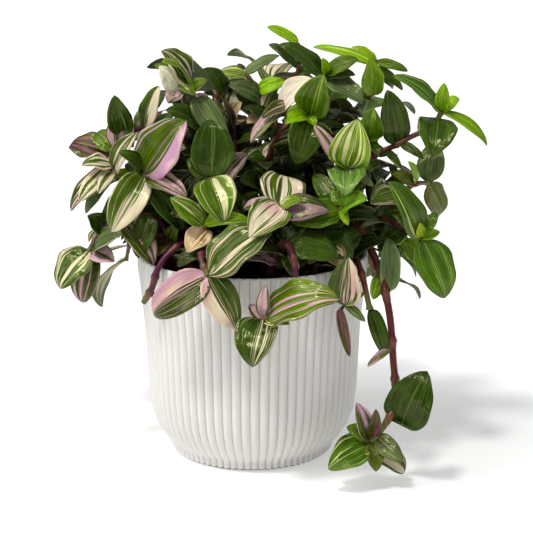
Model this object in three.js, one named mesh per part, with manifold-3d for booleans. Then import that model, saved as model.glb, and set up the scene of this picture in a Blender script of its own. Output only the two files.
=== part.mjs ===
import * as THREE from 'three';
import { mergeVertices } from 'three/addons/utils/BufferGeometryUtils.js';
import Module from 'manifold-3d';

// Potted tradescantia. Millimetres, +Z up, origin at the centre of the pot's foot on the surface it
// stands on. The front of the plant is towards -Y.

// Driving dimensions
const potHeight = 124;
const rimRadius = 70;
const ribCount = 72;
const ribDepth = 1.1;
const wall = 2.8;
const floorThickness = 4;
const soilTop = 114;
const gap = 0.3;
const bladeThickness = 0.8;
const holeDepth = 20;
const holeSides = 5;
const standClearance = 0.8;

// Outer profile of the pot at the crowns of the ribs: [radius, height]
const potProfile = [[48.8, 0], [59.6, 16], [64.8, 45], [rimRadius, potHeight]];
const wallSides = 36;
const wallTurn = 0.6; // degrees

// Soil: the heights of its wall rings, its lumpy top's rings as shares of its radius, and the lumps
const soilWallHeights = [floorThickness + gap, 26, 68, soilTop - 2];
const soilTopShares = [0.96, 0.7, 0.4, 0.14];
const soilLumpBase = -1.6;
const soilLumpRange = 3.4;
const soilSeed = 11;

// The plant was measured from the front, by an eye at this distance and height on the middle line
// of its width. A place is written as [across, up, out]: where it is seen on the upright plane
// through the pot's axis, and how far in front of that plane it really is.
const eyeX = 8.5;
const eyeDistance = 960;
const eyeHeight = 356;

const potColour = 0xeeebe6;
const soilColour = 0x2a211b;
const lookColours = {
  G: 0x3f7a34, D: 0x2c5230, B: 0x63a13c, Y: 0x9bb356, S: 0x7f9a5b, C: 0xb9b684, H: 0x96a070,
  P: 0xa67a88, K: 0x7d5468, R: 0x9c8a6a, Q: 0x7a6a70, U: 0x7f8f78, O: 0x6d7540, T: 0xa98f70,
  W: 0xc9c6a8,
};

// Leafy stems seen in front: root on the soil [across, out], the stem's course, its radius, and the
// leaves as [base across, base up, base out, tip across, tip up, lean out, width, look].
// The looks: G green, D dark green, B bright, Y yellow-green with cream, S green with many cream
// stripes, C cream with green stripes, H half green and half cream, P pink with green, K purple with
// green, R green, pink and cream bands, Q dark green one half and lilac the other, U grey-green
// underside, O olive, T tan, W white and cream.
const seenStems = {
  stem_left_top: [[-16, 4], [[-20, 160, 2], [-29, 200, 6], [-41, 217, 6], [-41, 228, 6]], 1.2, [
    [-37, 227, 6, -52, 246, 8, 19, 'S'], [-38, 226, 8, -52, 240, 14, 12, 'B'],
    [-43, 227, 7, -34, 219.5, 9, 8, 'Y'], [-36, 222, 8, -27, 228.5, 5, 8, 'Y'],
    [-44, 220, 8, -54.5, 236.5, 8, 12, 'P'], [-41, 223, 8, -51, 215, 9, 12, 'P'],
    [-34, 218, 8, -15, 188, 12, 16, 'U'],
    [-30, 199, 8, -50.5, 211, 12, 15, 'D']]],
  stem_left_mid: [[-34, 10], [[-46, 150, 10], [-56, 185, 10], [-66, 199, 10], [-78, 192, 12],
    [-84, 176, 15]], 1.3, [
    [-77, 195, 12, -82, 218, 12, 15, 'D'], [-64, 200, 10, -56, 224.5, 6, 13, 'H'],
    [-70, 201, 6, -52, 220, -10, 9, 'U'], [-81, 187, 14, -74, 209, 16, 17, 'P'],
    [-83, 173, 16, -70, 196.5, 14, 12, 'C'], [-84, 177, 16, -102, 178, 8, 13, 'C'],
    [-82, 186, 13, -94, 197, 6, 13, 'G'], [-86, 184, 12, -110, 191, -6, 20, 'K'],
    [-87, 176, 12, -111, 149, 2, 12, 'P'], [-86, 175, 16, -105, 155, 14, 12, 'C'],
    [-84, 173, 18, -93, 160, 10, 9, 'C'],
    [-84, 172, 14, -102, 147, -8, 9, 'D']]],
  stem_left_rosette: [[-28, 26], [[-42, 142, 30], [-56, 160, 35], [-66, 172, 36]], 1.6, [
    [-65, 172, 36, -41.5, 204, 8, 29, 'Q'], [-65.5, 171, 36, -86, 136, 12, 21, 'S'],
    [-67, 172, 36, -79, 185, 14, 12, 'D'], [-62, 168, 36, -42, 137, 14, 17, 'D'],
    [-63, 170, 36, -40, 158, 18, 14, 'P']]],
  stem_left_low: [[-50, 12], [[-60, 140, 14], [-78, 147, 17], [-92, 136, 19], [-99.5, 124, 20]], 1.6, [
    [-100, 124.5, 20, -119.5, 101, 8, 22, 'S'], [-98.5, 123, 20, -105, 90.5, 10, 18, 'Q'],
    [-97, 126, 20, -79, 136, 6, 14, 'U'], [-98, 124, 20, -85, 118, 12, 13, 'P'],
    [-90, 137, 19, -99, 146, 8, 13, 'D']]],
  stem_left_rim: [[-44, 22], [[-50, 130, 26], [-56, 142, 31], [-66, 147, 34], [-78, 144, 35]], 1.5, [
    [-62, 147, 34, -70, 119.5, 10, 15, 'D'], [-78, 144, 35, -60, 115.5, 10, 17, 'P'],
    [-51, 133, 30, -67, 121, 16, 16, 'K'], [-50, 130, 30, -45, 141, 8, 9, 'O']]],
  stem_broken: [[-36, 36], [[-41, 128, 40], [-51, 122, 46], [-58, 112, 49], [-61.5, 101, 49],
    [-67, 91, 47]], 2.0, []],
  stem_front_left: [[-22, 42], [[-24, 124, 52], [-30, 124, 62], [-31, 118, 72], [-27.5, 108, 79]], 1.9, [
    [-25, 110, 80, 11, 139, -4, 28, 'S'], [-27, 107, 80, -62.5, 83, -6, 23, 'R'],
    [-27, 108, 80, -10, 74, 4, 20, 'S']]],
  stem_front_middle: [[10, 44], [[15, 124, 54], [21, 128, 66], [25, 119, 75], [26, 106, 79],
    [19, 90, 81], [6.5, 80, 81]], 1.9, [
    [6, 81, 82, -1, 51, 6, 25, 'C'],
    [6, 83, 82, 8, 102, 2, 8, 'P'], [9, 82, 82, 51.5, 95.5, 4, 28, 'R'],
    [8, 80, 82, 22, 78, 5, 9, 'Y']]],
  stem_front_rim: [[22, 52], [[22, 118, 56], [21, 122, 60]], 1.2, [
    [19, 121, 61, 5.5, 125, 4, 8, 'D'], [21, 121, 61, 26, 108, 8, 9, 'H'],
    [23, 122, 58, 47, 133, -4, 18, 'D']]],
  stem_rim_right: [[36, 44], [[40, 121, 49], [44, 131, 53]], 1.3, [
    [44, 130, 54, 54, 114, 12, 14, 'T'], [44, 133, 53, 61, 120, 6, 17, 'D']]],
  stem_right_striped: [[46, 31], [[52, 121, 40], [59, 119, 49], [60, 108, 57], [56, 89.5, 61]], 1.5, [
    [56, 90, 62, 58, 118, 12, 20, 'S'], [57, 91, 62, 68, 97, 5, 8, 'Y']]],
  stem_right_second: [[32, -6], [[36, 122, -2], [46, 118, 16], [55, 116, 30], [62, 120, 42],
    [67, 108.5, 50], [70, 96, 53], [72, 87, 54]], 1.9, [[73, 87, 54, 82, 57, 2, 10, 'D']]],
  stem_trailing: [[53, 6], [[55, 126, 15], [58, 137, 24], [61, 141, 30], [65.5, 136.5, 35],
    [72.5, 124, 41], [78, 110.5, 47], [82, 95, 52], [84.5, 82, 55], [86, 68.5, 58], [87, 55, 61],
    [88.5, 40, 64], [88.5, 31, 66], [88, 23.5, 68], [83, 12.5, 71], [74, 1, 72]], 2.2, [
    [83, 98, 50, 83, 132.5, -12, 13, 'U'],
    [93, 11, 69, 107, 46, 4, 28, 'D'], [74, 2, 72, 65, 26, 6, 11, 'Q'],
    [75, 3, 72, 77, 21, 10, 8, 'K'], [73, 2, 72, 59, 11, 10, 10, 'G'],
    [72, 0, 72, 50, -10, 4, 18, 'D'], [72, -2, 73, 48, -17, 9, 19, 'Y'],
    [74, -1, 73, 78, -19, 10, 11, 'O'], [75, 0, 72, 97, -20, 2, 16, 'S'],
    [77, 4, 71, 94, -13, -8, 12, 'U']]],
  stem_right_cluster: [[52, 2], [[62, 136, 10], [78, 144, 18], [92, 137, 26], [102, 131, 30]], 1.6, [
    [101, 132, 30, 83.5, 167, 6, 18, 'G'], [100, 133, 30, 85, 149, 14, 14, 'G'],
    [103, 133, 30, 112, 148, 8, 9, 'G'], [104, 130, 30, 119, 94, 8, 24, 'G'],
    [90, 137, 26, 77, 125, 12, 15, 'D']]],
  stem_right_behind: [[56, -14], [[64, 134, -8], [78, 139, 2], [89, 131, 6], [87, 119, 8],
    [79, 109, 9]], 1.1, [
    [90, 130, 6, 108, 112, 4, 14, 'B'], [87, 120, 8, 78, 108, -6, 11, 'B'],
    [79, 110, 9, 74, 93, 4, 9, 'B'],
    [84, 136, 4, 96, 150, -10, 14, 'B']]],
  stem_right_mid: [[48, -6], [[58, 138, 2], [72, 151, 10], [88, 159, 14], [98, 165, 8],
    [106, 166, -6]], 1.5, [
    [87, 159, 14, 73, 155, 20, 20, 'R'], [97, 165, 8, 85, 172, 12, 10, 'O'],
    [106.5, 167, -6, 109, 190, -12, 17, 'U'], [106, 165, -6, 115, 145, -14, 17, 'O'],
    [66, 146, 7, 72, 134, 12, 10, 'U']]],
  stem_middle_right: [[22, 26], [[36, 140, 36], [50, 160, 46], [57, 175, 50]], 1.4, [
    [57, 176, 50, 62.5, 203, 10, 24, 'Y'],
    [57, 174, 50, 56, 161, 22, 22, 'S'], [54, 177, 48, 37, 201.5, -6, 9, 'P']]],
  stem_front_right: [[28, 34], [[38, 133, 43], [47, 144, 54], [55, 151, 60]], 1.3, [
    [53, 149, 60, 24, 142, 4, 18, 'G'], [55, 151, 60, 68, 157, 12, 15, 'B'],
    [55, 152, 60, 52, 165, 12, 12, 'B'], [57, 153, 60, 66, 162, 2, 9, 'B'],
    [52, 150, 57, 37, 172, -8, 13, 'D']]],
  stem_front_centre: [[6, 30], [[10, 132, 46], [14, 144, 57], [16.5, 152.5, 62]], 1.5, [
    [16, 153, 62, 19, 172, -24, 27, 'C'], [17, 152, 62, -1, 134.5, 16, 22, 'C'],
    [18, 152, 62, 30, 156, 8, 8, 'Y'], [15, 153, 62, -6, 150.5, 6, 9, 'P']]],
  stem_middle_left: [[-9, 24], [[-16, 140, 40], [-23, 158, 50], [-26, 169.5, 52]], 1.5, [
    [-25, 170, 52, -24.5, 205, -8, 25, 'D'], [-26, 168.7, 52, -17.3, 143.5, 18, 24, 'S'],
    [-27, 170, 52, -39, 181, 6, 11, 'D'], [-25, 168, 51, -6, 150, -8, 14, 'D']]],
  stem_front_left_low: [[-20, 34], [[-25, 128, 46], [-29.5, 141, 58]], 1.3, [
    [-30, 141, 58, -49, 157, 6, 12, 'Y'], [-29, 141, 58, -1, 143, 8, 9, 'B'],
    [-27, 138, 55, -40, 124, 6, 15, 'T']]],
  stem_centre_top: [[3, 12], [[6, 160, 14], [13, 190, 22], [23, 203, 28], [33, 207, 30]], 1.4, [
    [35, 207, 30, 41.5, 230.5, 12, 21, 'G'], [33, 208, 30, 20.5, 208, 8, 11, 'B'],
    [32, 206, 31, 20.5, 203, 10, 8, 'B'], [34, 205, 31, 27, 178, 12, 20, 'D']]],
  stem_top: [[17, 2], [[24, 170, 0], [34, 203, 2], [43, 231, 5]], 1.2, [
    [42, 230.5, 5, 16.5, 250, 2, 13, 'D'], [44, 232, 5, 62.5, 241, 4, 10, 'G'],
    [45, 230, 5, 61, 232, 12, 9, 'D'],
    [45, 228, 5, 66, 215.5, 10, 16, 'U']]],
  stem_top_behind: [[9, -12], [[16, 180, -14], [25, 226, -16], [28, 240, -16], [27, 250, -15]], 1.0, [
    [27, 236, -16, 10, 250, -8, 8, 'D']]],
  stem_top_right: [[27, -8], [[38, 170, -8], [48, 199, -6], [59, 209, -4], [69, 217, -2],
    [72, 228, -1], [73.5, 240, 0]], 1.2, [
    [71, 218, -2, 70, 240, 10, 15, 'B'], [73, 237, -4, 36, 248.5, -8, 8, 'B'],
    [69, 217, 0, 66, 207, 16, 12, 'U']]],
  stem_right_far: [[38, -2], [[54, 160, 2], [72, 182, 4], [85, 188.5, 5], [95, 194, 6],
    [103, 198, 7], [110, 204, 8], [113, 209, 8]], 1.8, [
    [112, 210, 8, 84, 231.5, 4, 12, 'G'], [113, 210, 8, 114, 226, 6, 9, 'B'],
    [114, 210, 8, 123, 218, -4, 8, 'B'], [114, 209, 8, 141.5, 189, 2, 8, 'B'],
    [111, 205, 8, 108.5, 184, 22, 24, 'D'], [87, 190, 5, 81, 221.5, 8, 18, 'D']]],
  stem_right_inner: [[33, 10], [[46, 140, 16], [60, 165, 20], [70, 192, 20]], 1.2, [
    [70, 193, 20, 72, 210, 14, 16, 'G'], [70, 192, 20, 78, 199, 4, 8, 'B'],
    [55, 156, 18, 40, 178, -4, 14, 'D']]],
  stem_left_inner: [[-6, -4], [[-9, 160, -4], [-11, 200, 0], [-17, 217, 0]], 1.1, [
    [-17, 217, 0, -27, 235, 8, 15, 'D'], [-12, 204, 2, -7, 215, 6, 8, 'T'],
    [-10, 176, 2, -34, 190, 14, 17, 'G']]],
  stem_middle_top: [[0, -14], [[2, 170, -10], [6, 205, -4], [4, 222, -4], [-4, 232, -4]], 1.1, [
    [-4, 231, -4, -20, 233, 6, 9, 'Y'], [-4, 232, -5, 16, 243.5, -6, 8, 'U'],
    [5, 216, -3, -13.5, 225.5, 10, 12, 'U'], [4, 222, -2, 20, 227, 6, 10, 'B'],
    [6, 210, -2, 16.5, 229, 6, 8, 'H'], [5, 207, 0, -9.5, 220.5, 14, 9, 'D'],
    [6, 206, 2, -3, 203, 10, 9, 'T']]],
  stem_cream: [[7, 0], [[10, 170, 6], [14, 200, 12], [15, 210, 13], [23, 214, 15]], 1.1, [
    [17, 212, 14, 34, 229.5, 12, 16, 'W'], [22, 214, 15, 6, 206, 14, 9, 'P'],
    [20, 212, 16, -1.5, 191, 14, 10, 'P'],
    [13, 190, 12, 4, 176, 16, 12, 'C'], [11, 182, 10, -9, 183, 6, 9, 'D'],
    [10, 176, 9, -7, 166.5, 12, 14, 'D'], [11, 172, 8, 33, 158, 12, 17, 'D']]],
};

// Leafy stems of the back and the inside, placed by rule: [angle, root radius, reach, peak height,
// tip height, leaves]. Angles turn from +X towards the back.
const ruledStems = {
  stem_back_1: [14, 46, 84, 172, 150, 8], stem_back_2: [24, 26, 70, 206, 204, 8],
  stem_back_3: [38, 46, 100, 160, 92, 9], stem_back_4: [64, 44, 92, 180, 158, 8],
  stem_back_5: [76, 22, 64, 222, 220, 8], stem_back_6: [92, 48, 98, 158, 96, 9],
  stem_back_7: [118, 44, 94, 178, 156, 8], stem_back_8: [128, 22, 66, 218, 214, 8],
  stem_back_9: [146, 46, 100, 162, 104, 9], stem_back_10: [162, 28, 72, 196, 188, 8],
  stem_back_11: [176, 46, 76, 162, 140, 7],
  stem_inner_1: [-62, 18, 36, 172, 166, 6], stem_inner_2: [-122, 20, 38, 170, 164, 6],
};
const leafLength = [36, 46];
const leafSlimness = 0.52;
const leafFullness = [0.85, 1.15];
const leafSpread = [0.75, 1.1];
const leafRise = [0.25, -0.25];
const ruledLooks = 'GDSCPBUYDKGS';
const leafSeed = 2027;

const leafSway = 6;
const ruledRadius = 1.3;
const firstLeafShare = 0.26;

// Each leaf's roll about its length (radians), the bend of its midrib and the rise of its halves
const rollRange = 0.5;
const bendRange = [0.35, 1.1];
const foldRange = [0.1, 0.35];
const leastRootWidth = 1.1;

// Clearance between leafy stems: sample spacing and least distance between samples
const sampleStep = 3;
const stemSample = 2.5;
const rootShare = 0.22;
const leafClearance = 2.8;
const ownClearance = 2.2;
const potMargin = 1.2;
const soilMargin = 2;
const soilSpread = rimRadius - 4;

// Stems: the blades' roots reach their middle line, and they grow slimmer towards their tips
const stemSides = 4;
const stemStep = 20;
const stemLift = 3;
const stemTaper = 0.35;
const rootInset = 1.2;
const flatTolerance = 0.25;
const leanTries = [0, 4, -4, 8, -8, 12, -12, 16, -16, 20, -20];
const turnTries = [[0, 0], [14, 0], [-14, 0], [0, 14], [0, -14], [28, 8], [-28, 8], [0, 28], [20, -20],
  [-20, -20], [45, 0], [-45, 0]];

const wasm = await Module();
wasm.setup();

function mulberry(seed) {
  let state = seed >>> 0;
  return () => {
    state = (state + 0x6d2b79f5) >>> 0;
    let mixed = state;
    mixed = Math.imul(mixed ^ (mixed >>> 15), mixed | 1);
    mixed ^= mixed + Math.imul(mixed ^ (mixed >>> 7), mixed | 61);
    return ((mixed ^ (mixed >>> 14)) >>> 0) / 4294967296;
  };
}

function seen(across, up, out) {
  const nearer = out / eyeDistance;
  return new THREE.Vector3(across + (eyeX - across) * nearer, -out, up + (eyeHeight - up) * nearer);
}

function toSolid(geometry) {
  geometry.deleteAttribute('normal');
  geometry.deleteAttribute('uv');
  const merged = mergeVertices(geometry, 1e-4);
  return new wasm.Manifold(new wasm.Mesh({
    numProp: 3,
    vertProperties: Float32Array.from(merged.attributes.position.array),
    triVerts: Uint32Array.from(merged.index.array),
  }));
}

function toGeometry(solid) {
  const mesh = solid.getMesh();
  const geometry = new THREE.BufferGeometry();
  geometry.setAttribute('position', new THREE.BufferAttribute(mesh.vertProperties, 3));
  geometry.setIndex(new THREE.BufferAttribute(mesh.triVerts, 1));
  geometry.computeVertexNormals();
  return geometry;
}

function indexed(points, faces) {
  const geometry = new THREE.BufferGeometry();
  const positions = points.flatMap((point) => [point.x, point.y, point.z]);
  geometry.setAttribute('position', new THREE.Float32BufferAttribute(positions, 3));
  geometry.setIndex(faces.flat());
  return geometry;
}

// A closed skin through rings that all have the same number of points
function loft(rings) {
  const sides = rings[0].length;
  const faces = [];
  for (let ring = 0; ring < rings.length - 1; ring += 1) {
    for (let side = 0; side < sides; side += 1) {
      const next = (side + 1) % sides;
      const low = ring * sides;
      const high = low + sides;
      faces.push([low + side, low + next, high + next], [low + side, high + next, high + side]);
    }
  }
  const last = (rings.length - 1) * sides;
  for (let side = 1; side < sides - 1; side += 1) {
    faces.push([0, side + 1, side], [last, last + side, last + side + 1]);
  }
  return toSolid(indexed(rings.flat(), faces));
}

function profileRadius(profile, height) {
  for (let step = 1; step < profile.length; step += 1) {
    const [lowRadius, low] = profile[step - 1];
    const [highRadius, high] = profile[step];
    if (height <= high) {
      return lowRadius + (highRadius - lowRadius) * Math.max(0, (height - low) / (high - low));
    }
  }
  return profile[profile.length - 1][0];
}

function lathe(profile, sides, turn) {
  const outline = profile.map(([radius, height]) => new THREE.Vector2(radius, height));
  const geometry = new THREE.LatheGeometry(outline, sides);
  geometry.rotateX(Math.PI / 2);
  geometry.rotateZ(THREE.MathUtils.degToRad(turn));
  return toSolid(geometry);
}

// Pot: ribbed skin with a plain round cavity cut from it, which runs out through the mouth
const cavityTop = potHeight + 5;
const cavityProfile = [[45, floorThickness], [58.6, 26], [62.4, 68], [rimRadius - wall, cavityTop]];

function ribbedRing(radius, height) {
  const columns = ribCount * 2;
  const ring = [];
  for (let column = 0; column < columns; column += 1) {
    const angle = (column / columns) * Math.PI * 2;
    const reach = radius - (column % 2) * ribDepth;
    ring.push(new THREE.Vector3(reach * Math.cos(angle), reach * Math.sin(angle), height));
  }
  return ring;
}

function pot() {
  const skin = loft(potProfile.map(([radius, height]) => ribbedRing(radius, height)));
  const cavity = lathe([[0, floorThickness], ...cavityProfile, [0, cavityTop]], wallSides, wallTurn);
  return skin.subtract(cavity);
}

// Soil: a lumpy top over a body that follows the cavity, with a hole for each stem
function soil(holes) {
  const random = mulberry(soilSeed);
  const sides = wallSides / 2;
  const reach = (height) => profileRadius(cavityProfile, height) - 2 * gap;
  const wallRings = soilWallHeights.map((height) => soilRing(reach(height), () => height, sides));
  const topHeight = () => soilTop + soilLumpBase + soilLumpRange * random();
  const topRings = soilTopShares.map((share) => soilRing(reach(soilTop) * share, topHeight, sides));
  return holes.reduce((solid, hole) => solid.subtract(hole), loft([...wallRings, ...topRings]));
}

function soilRing(radius, heightOf, sides) {
  const ring = [];
  for (let side = 0; side < sides; side += 1) {
    const angle = (side / sides) * Math.PI * 2;
    ring.push(new THREE.Vector3(radius * Math.cos(angle), radius * Math.sin(angle), heightOf()));
  }
  return ring;
}

function stemHole(root, radius) {
  const reach = (radius + gap) / Math.cos(Math.PI / holeSides);
  const geometry = new THREE.CylinderGeometry(reach, reach, 2 * holeDepth, holeSides);
  geometry.rotateX(Math.PI / 2);
  geometry.translate(root.x, root.y, soilTop);
  return toSolid(geometry);
}

// Stems stand upright in their holes and then follow their course
function stemCurve(foot, course) {
  const start = foot.clone().setZ(soilTop + stemLift);
  return new THREE.CatmullRomCurve3([start, ...course], false, 'centripetal');
}

function stemLine(stem) {
  const steps = Math.max(4, Math.round(stem.curve.getLength() / stemStep));
  return [stem.foot.clone().setZ(soilTop - holeDepth + gap), ...stem.curve.getSpacedPoints(steps)];
}

function tube(points, radii, sides) {
  const rings = [];
  let across = new THREE.Vector3(1, 0, 0);
  for (let step = 0; step < points.length; step += 1) {
    const [before, after] = [points[Math.max(step - 1, 0)], points[Math.min(step + 1, points.length - 1)]];
    const along = after.clone().sub(before).normalize();
    across = across.sub(along.clone().multiplyScalar(across.dot(along))).normalize();
    const over = along.clone().cross(across);
    const ring = [];
    for (let side = 0; side < sides; side += 1) {
      const angle = (side / sides) * Math.PI * 2;
      ring.push(points[step].clone()
        .addScaledVector(across, radii[step] * Math.cos(angle))
        .addScaledVector(over, radii[step] * Math.sin(angle)));
    }
    rings.push(ring);
  }
  return loft(rings);
}

// Leaves. The midrib is an arc of the given bend over the chord from base to tip; the blade's faces
// look along facing, and its halves rise from the midrib by fold. An egg-shaped outline, widest at
// two fifths of its length, tapers to the tip.
const rootPower = 0.55;
const tipPower = 0.85;
const widestAt = rootPower / (rootPower + tipPower);
const widest = widestAt ** rootPower * (1 - widestAt) ** tipPower;

function leafShape(u) {
  return (u ** rootPower * (1 - u) ** tipPower) / widest;
}

function leafFrame(leaf) {
  const chord = leaf.tip.clone().sub(leaf.base);
  const length = chord.length();
  const along = chord.normalize();
  const face = leaf.facing.clone().sub(along.clone().multiplyScalar(leaf.facing.dot(along))).normalize();
  face.applyAxisAngle(along, leaf.roll);
  const side = along.clone().cross(face);
  return { length, along, face, side };
}

function leafPoint(leaf, frame, u, v) {
  const half = leaf.bend / 2;
  const scale = frame.length / (2 * Math.sin(half));
  const run = (Math.sin(half) - Math.sin(half - leaf.bend * u)) * scale;
  const rise = (Math.cos(half - leaf.bend * u) - Math.cos(half)) * scale;
  const width = Math.max(leaf.width * 0.5 * leafShape(u), u < 0.1 ? leastRootWidth : 0);
  const lift = rise + Math.abs(v) * width * leaf.fold;
  return leaf.base.clone()
    .addScaledVector(frame.along, run)
    .addScaledVector(frame.face, lift)
    .addScaledVector(frame.side, v * width);
}

// A blade is three points wide, or two where it is slim, and runs from one sunk root point to one tip
const stationsFor = [[24, [0.2, 0.48, 0.8]], [10, [0.27, 0.66]], [7, [0.3, 0.66]], [0, [0.4]]];
const slimLeaf = 14;

function leafSolid(leaf, root) {
  const frame = leafFrame(leaf);
  const stations = stationsFor.find(([width]) => leaf.width >= width)[1];
  const across = leaf.width < slimLeaf ? [-1, 1] : [-1, 0, 1];
  const points = [];
  const faces = [];
  const thickness = frame.face.clone().multiplyScalar(-bladeThickness);
  const put = (point) => [points.push(point) - 1, points.push(point.clone().add(thickness)) - 1];
  const rows = [
    across.map(() => 0).fill(put(root)),
    ...stations.map((u) => across.map((v) => put(leafPoint(leaf, frame, u, v)))),
    across.map(() => 0).fill(put(leafPoint(leaf, frame, 1, 0))),
  ];
  const corners = (...face) => {
    const distinct = face.filter((corner, index) => corner !== face[(index + 1) % face.length]);
    for (let index = 1; index < distinct.length - 1; index += 1) {
      faces.push([distinct[0], distinct[index], distinct[index + 1]]);
    }
  };
  const last = across.length - 1;
  for (let step = 0; step < rows.length - 1; step += 1) {
    const [row, next] = [rows[step], rows[step + 1]];
    for (let half = 0; half < last; half += 1) {
      corners(row[half][0], row[half + 1][0], next[half + 1][0], next[half][0]);
      corners(row[half + 1][1], row[half][1], next[half][1], next[half + 1][1]);
    }
    corners(row[0][1], row[0][0], next[0][0], next[0][1]);
    corners(row[last][0], row[last][1], next[last][1], next[last][0]);
  }
  return toSolid(indexed(points, faces));
}

function leafSamples(leaf) {
  const frame = leafFrame(leaf);
  const rows = Math.ceil(frame.length / sampleStep);
  const columns = Math.max(1, Math.ceil(leaf.width / 2 / sampleStep));
  const samples = [];
  for (let row = 1; row <= rows; row += 1) {
    for (let column = -columns; column <= columns; column += 1) {
      const point = leafPoint(leaf, frame, row / rows, column / columns);
      samples.push({ point, nearRoot: row / rows < rootShare });
    }
  }
  return samples;
}

// A point is free of the pot's wall, the soil and the surface
function freeOfPot(point) {
  const radius = Math.hypot(point.x, point.y);
  const aboveSoil = point.z > soilTop + soilMargin + potMargin;
  if (point.z < standClearance) return false;
  if (point.z > potHeight + potMargin) return true;
  if (!aboveSoil && radius < soilSpread) return false;
  const outside = profileRadius(potProfile, point.z) + potMargin;
  const inside = rimRadius - wall - potMargin;
  return radius > outside || (aboveSoil && radius < inside);
}

const taken = [];

function isClear(samples, owner, ownToo) {
  const box = new THREE.Box3().setFromPoints(samples.map((sample) => sample.point));
  box.expandByScalar(leafClearance);
  const near = taken.filter((other) => (ownToo || other.owner !== owner) && box.containsPoint(other.point));
  return samples.every((sample) => freeOfPot(sample.point) && near.every((other) => {
    const own = other.owner === owner;
    if (own && (sample.nearRoot || other.nearRoot)) return true;
    const least = own ? ownClearance : leafClearance;
    return other.point.distanceToSquared(sample.point) > least * least;
  }));
}

function take(samples, owner) {
  samples.forEach((sample) => taken.push({ ...sample, owner }));
}

const random = mulberry(leafSeed);
const viewerSide = new THREE.Vector3(0, -0.75, 0.66);
const drawFrom = ([least, most]) => least + (most - least) * random();

function newLeaf(base, tip, width, look, facing) {
  return {
    base,
    tip,
    width,
    look,
    facing: facing.clone().normalize(),
    roll: (random() - 0.5) * rollRange,
    bend: drawFrom(bendRange),
    fold: drawFrom(foldRange),
  };
}

function readStem(name, [root, course, radius, rows]) {
  const foot = new THREE.Vector3(root[0], -root[1], 0);
  const curve = stemCurve(foot, course.map((place) => seen(...place)));
  const leaves = rows.map(([x0, z0, out0, x1, z1, lean, width, look]) => {
    const leaf = newLeaf(seen(x0, z0, out0), seen(x1, z1, out0 + lean), width, look, viewerSide);
    leaf.tries = leanTries.map((offset) => seen(x1, z1, out0 + lean + offset));
    leaf.kept = true;
    return leaf;
  });
  return { name, foot, curve, radius, leaves };
}

// A ruled stem rises from its root, arches over at its peak and reaches out to its tip. Its leaves
// stand by turns on its left and right, and the last one carries on along it.
function ruleStem(name, [angle, rootRadius, reach, peak, tipHeight, count]) {
  const turn = THREE.MathUtils.degToRad(angle);
  const outward = new THREE.Vector3(Math.cos(turn), Math.sin(turn), 0);
  const sideways = new THREE.Vector3(-Math.sin(turn), Math.cos(turn), 0);
  const place = (share, height) => outward.clone()
    .multiplyScalar(rootRadius + (reach - rootRadius) * share)
    .addScaledVector(sideways, (random() - 0.5) * leafSway)
    .setZ(height);
  const foot = outward.clone().multiplyScalar(rootRadius);
  const curve = stemCurve(foot, [
    place(0.12, soilTop + (peak - soilTop) * 0.6),
    place(0.45, peak),
    place(0.8, (peak + tipHeight) / 2),
    place(1, tipHeight),
  ]);
  const facing = outward.clone().multiplyScalar(0.55).add(new THREE.Vector3(0, 0, 0.83));
  const leaves = [];
  for (let index = 0; index < count; index += 1) {
    const share = firstLeafShare + ((1 - firstLeafShare) * index) / (count - 1);
    const base = curve.getPointAt(share);
    const hand = index % 2 ? 1 : -1;
    const length = drawFrom(leafLength);
    const spread = index === count - 1 ? 0 : drawFrom(leafSpread);
    const way = curve.getTangentAt(share).multiplyScalar(0.5)
      .addScaledVector(sideways, hand * spread)
      .addScaledVector(outward, 0.35)
      .add(new THREE.Vector3(0, 0, drawFrom(leafRise)))
      .normalize();
    const width = length * leafSlimness * drawFrom(leafFullness);
    const look = ruledLooks[Math.floor(random() * ruledLooks.length)];
    const leaf = newLeaf(base, base.clone().addScaledVector(way, length), width, look, facing);
    leaf.tries = turnTries.map(([yaw, pitch]) => {
      return base.clone().addScaledVector(turned(way, yaw, pitch), length);
    });
    leaf.kept = false;
    leaves.push(leaf);
  }
  return { name, foot, curve, radius: ruledRadius, leaves };
}

// A direction turned by yaw about the upright, then tipped by pitch (degrees)
function turned(way, yaw, pitch) {
  const swung = way.clone().applyAxisAngle(new THREE.Vector3(0, 0, 1), THREE.MathUtils.degToRad(yaw));
  const level = new THREE.Vector3(-swung.y, swung.x, 0).normalize();
  return swung.applyAxisAngle(level, THREE.MathUtils.degToRad(pitch));
}

// Each leaf takes the first place that is clear. One seen in the photograph stays where none is, and
// may come near its own stem's leaves; a ruled one is dropped.
function settle(stem) {
  stem.leaves = stem.leaves.filter((leaf) => {
    const fits = (tip, ownToo) => isClear(leafSamples({ ...leaf, tip }), stem.name, ownToo);
    let fit = leaf.tries.find((tip) => fits(tip, true));
    if (!fit && !leaf.kept) return false;
    fit ??= leaf.tries.find((tip) => fits(tip, false));
    leaf.tip = fit ?? leaf.tip;
    take(leafSamples(leaf), stem.name);
    return true;
  });
}

// A leaf's root is sunk to the middle of its stem, at the place nearest to its base
function leafRoot(line, base) {
  const end = line[line.length - 1].clone();
  end.add(line[line.length - 2].clone().sub(end).setLength(rootInset));
  const inner = [...line.slice(1, -1), end];
  const spots = inner.slice(1).map((point, index) => {
    const span = new THREE.Line3(inner[index], point);
    return span.closestPointToPoint(base, true, new THREE.Vector3());
  });
  return spots.reduce((a, b) => (b.distanceTo(base) < a.distanceTo(base) ? b : a));
}

function leafyStem(stem) {
  const last = stem.line.length - 1;
  const radii = stem.line.map((point, index) => stem.radius * (1 - (stemTaper * index) / last));
  const blades = stem.leaves.map((leaf) => leafSolid(leaf, leafRoot(stem.line, leaf.base)));
  const fused = wasm.Manifold.union([tube(stem.line, radii, stemSides), ...blades]).simplify(flatTolerance);
  return fused.decompose().reduce((a, b) => (b.volume() > a.volume() ? b : a));
}

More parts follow.
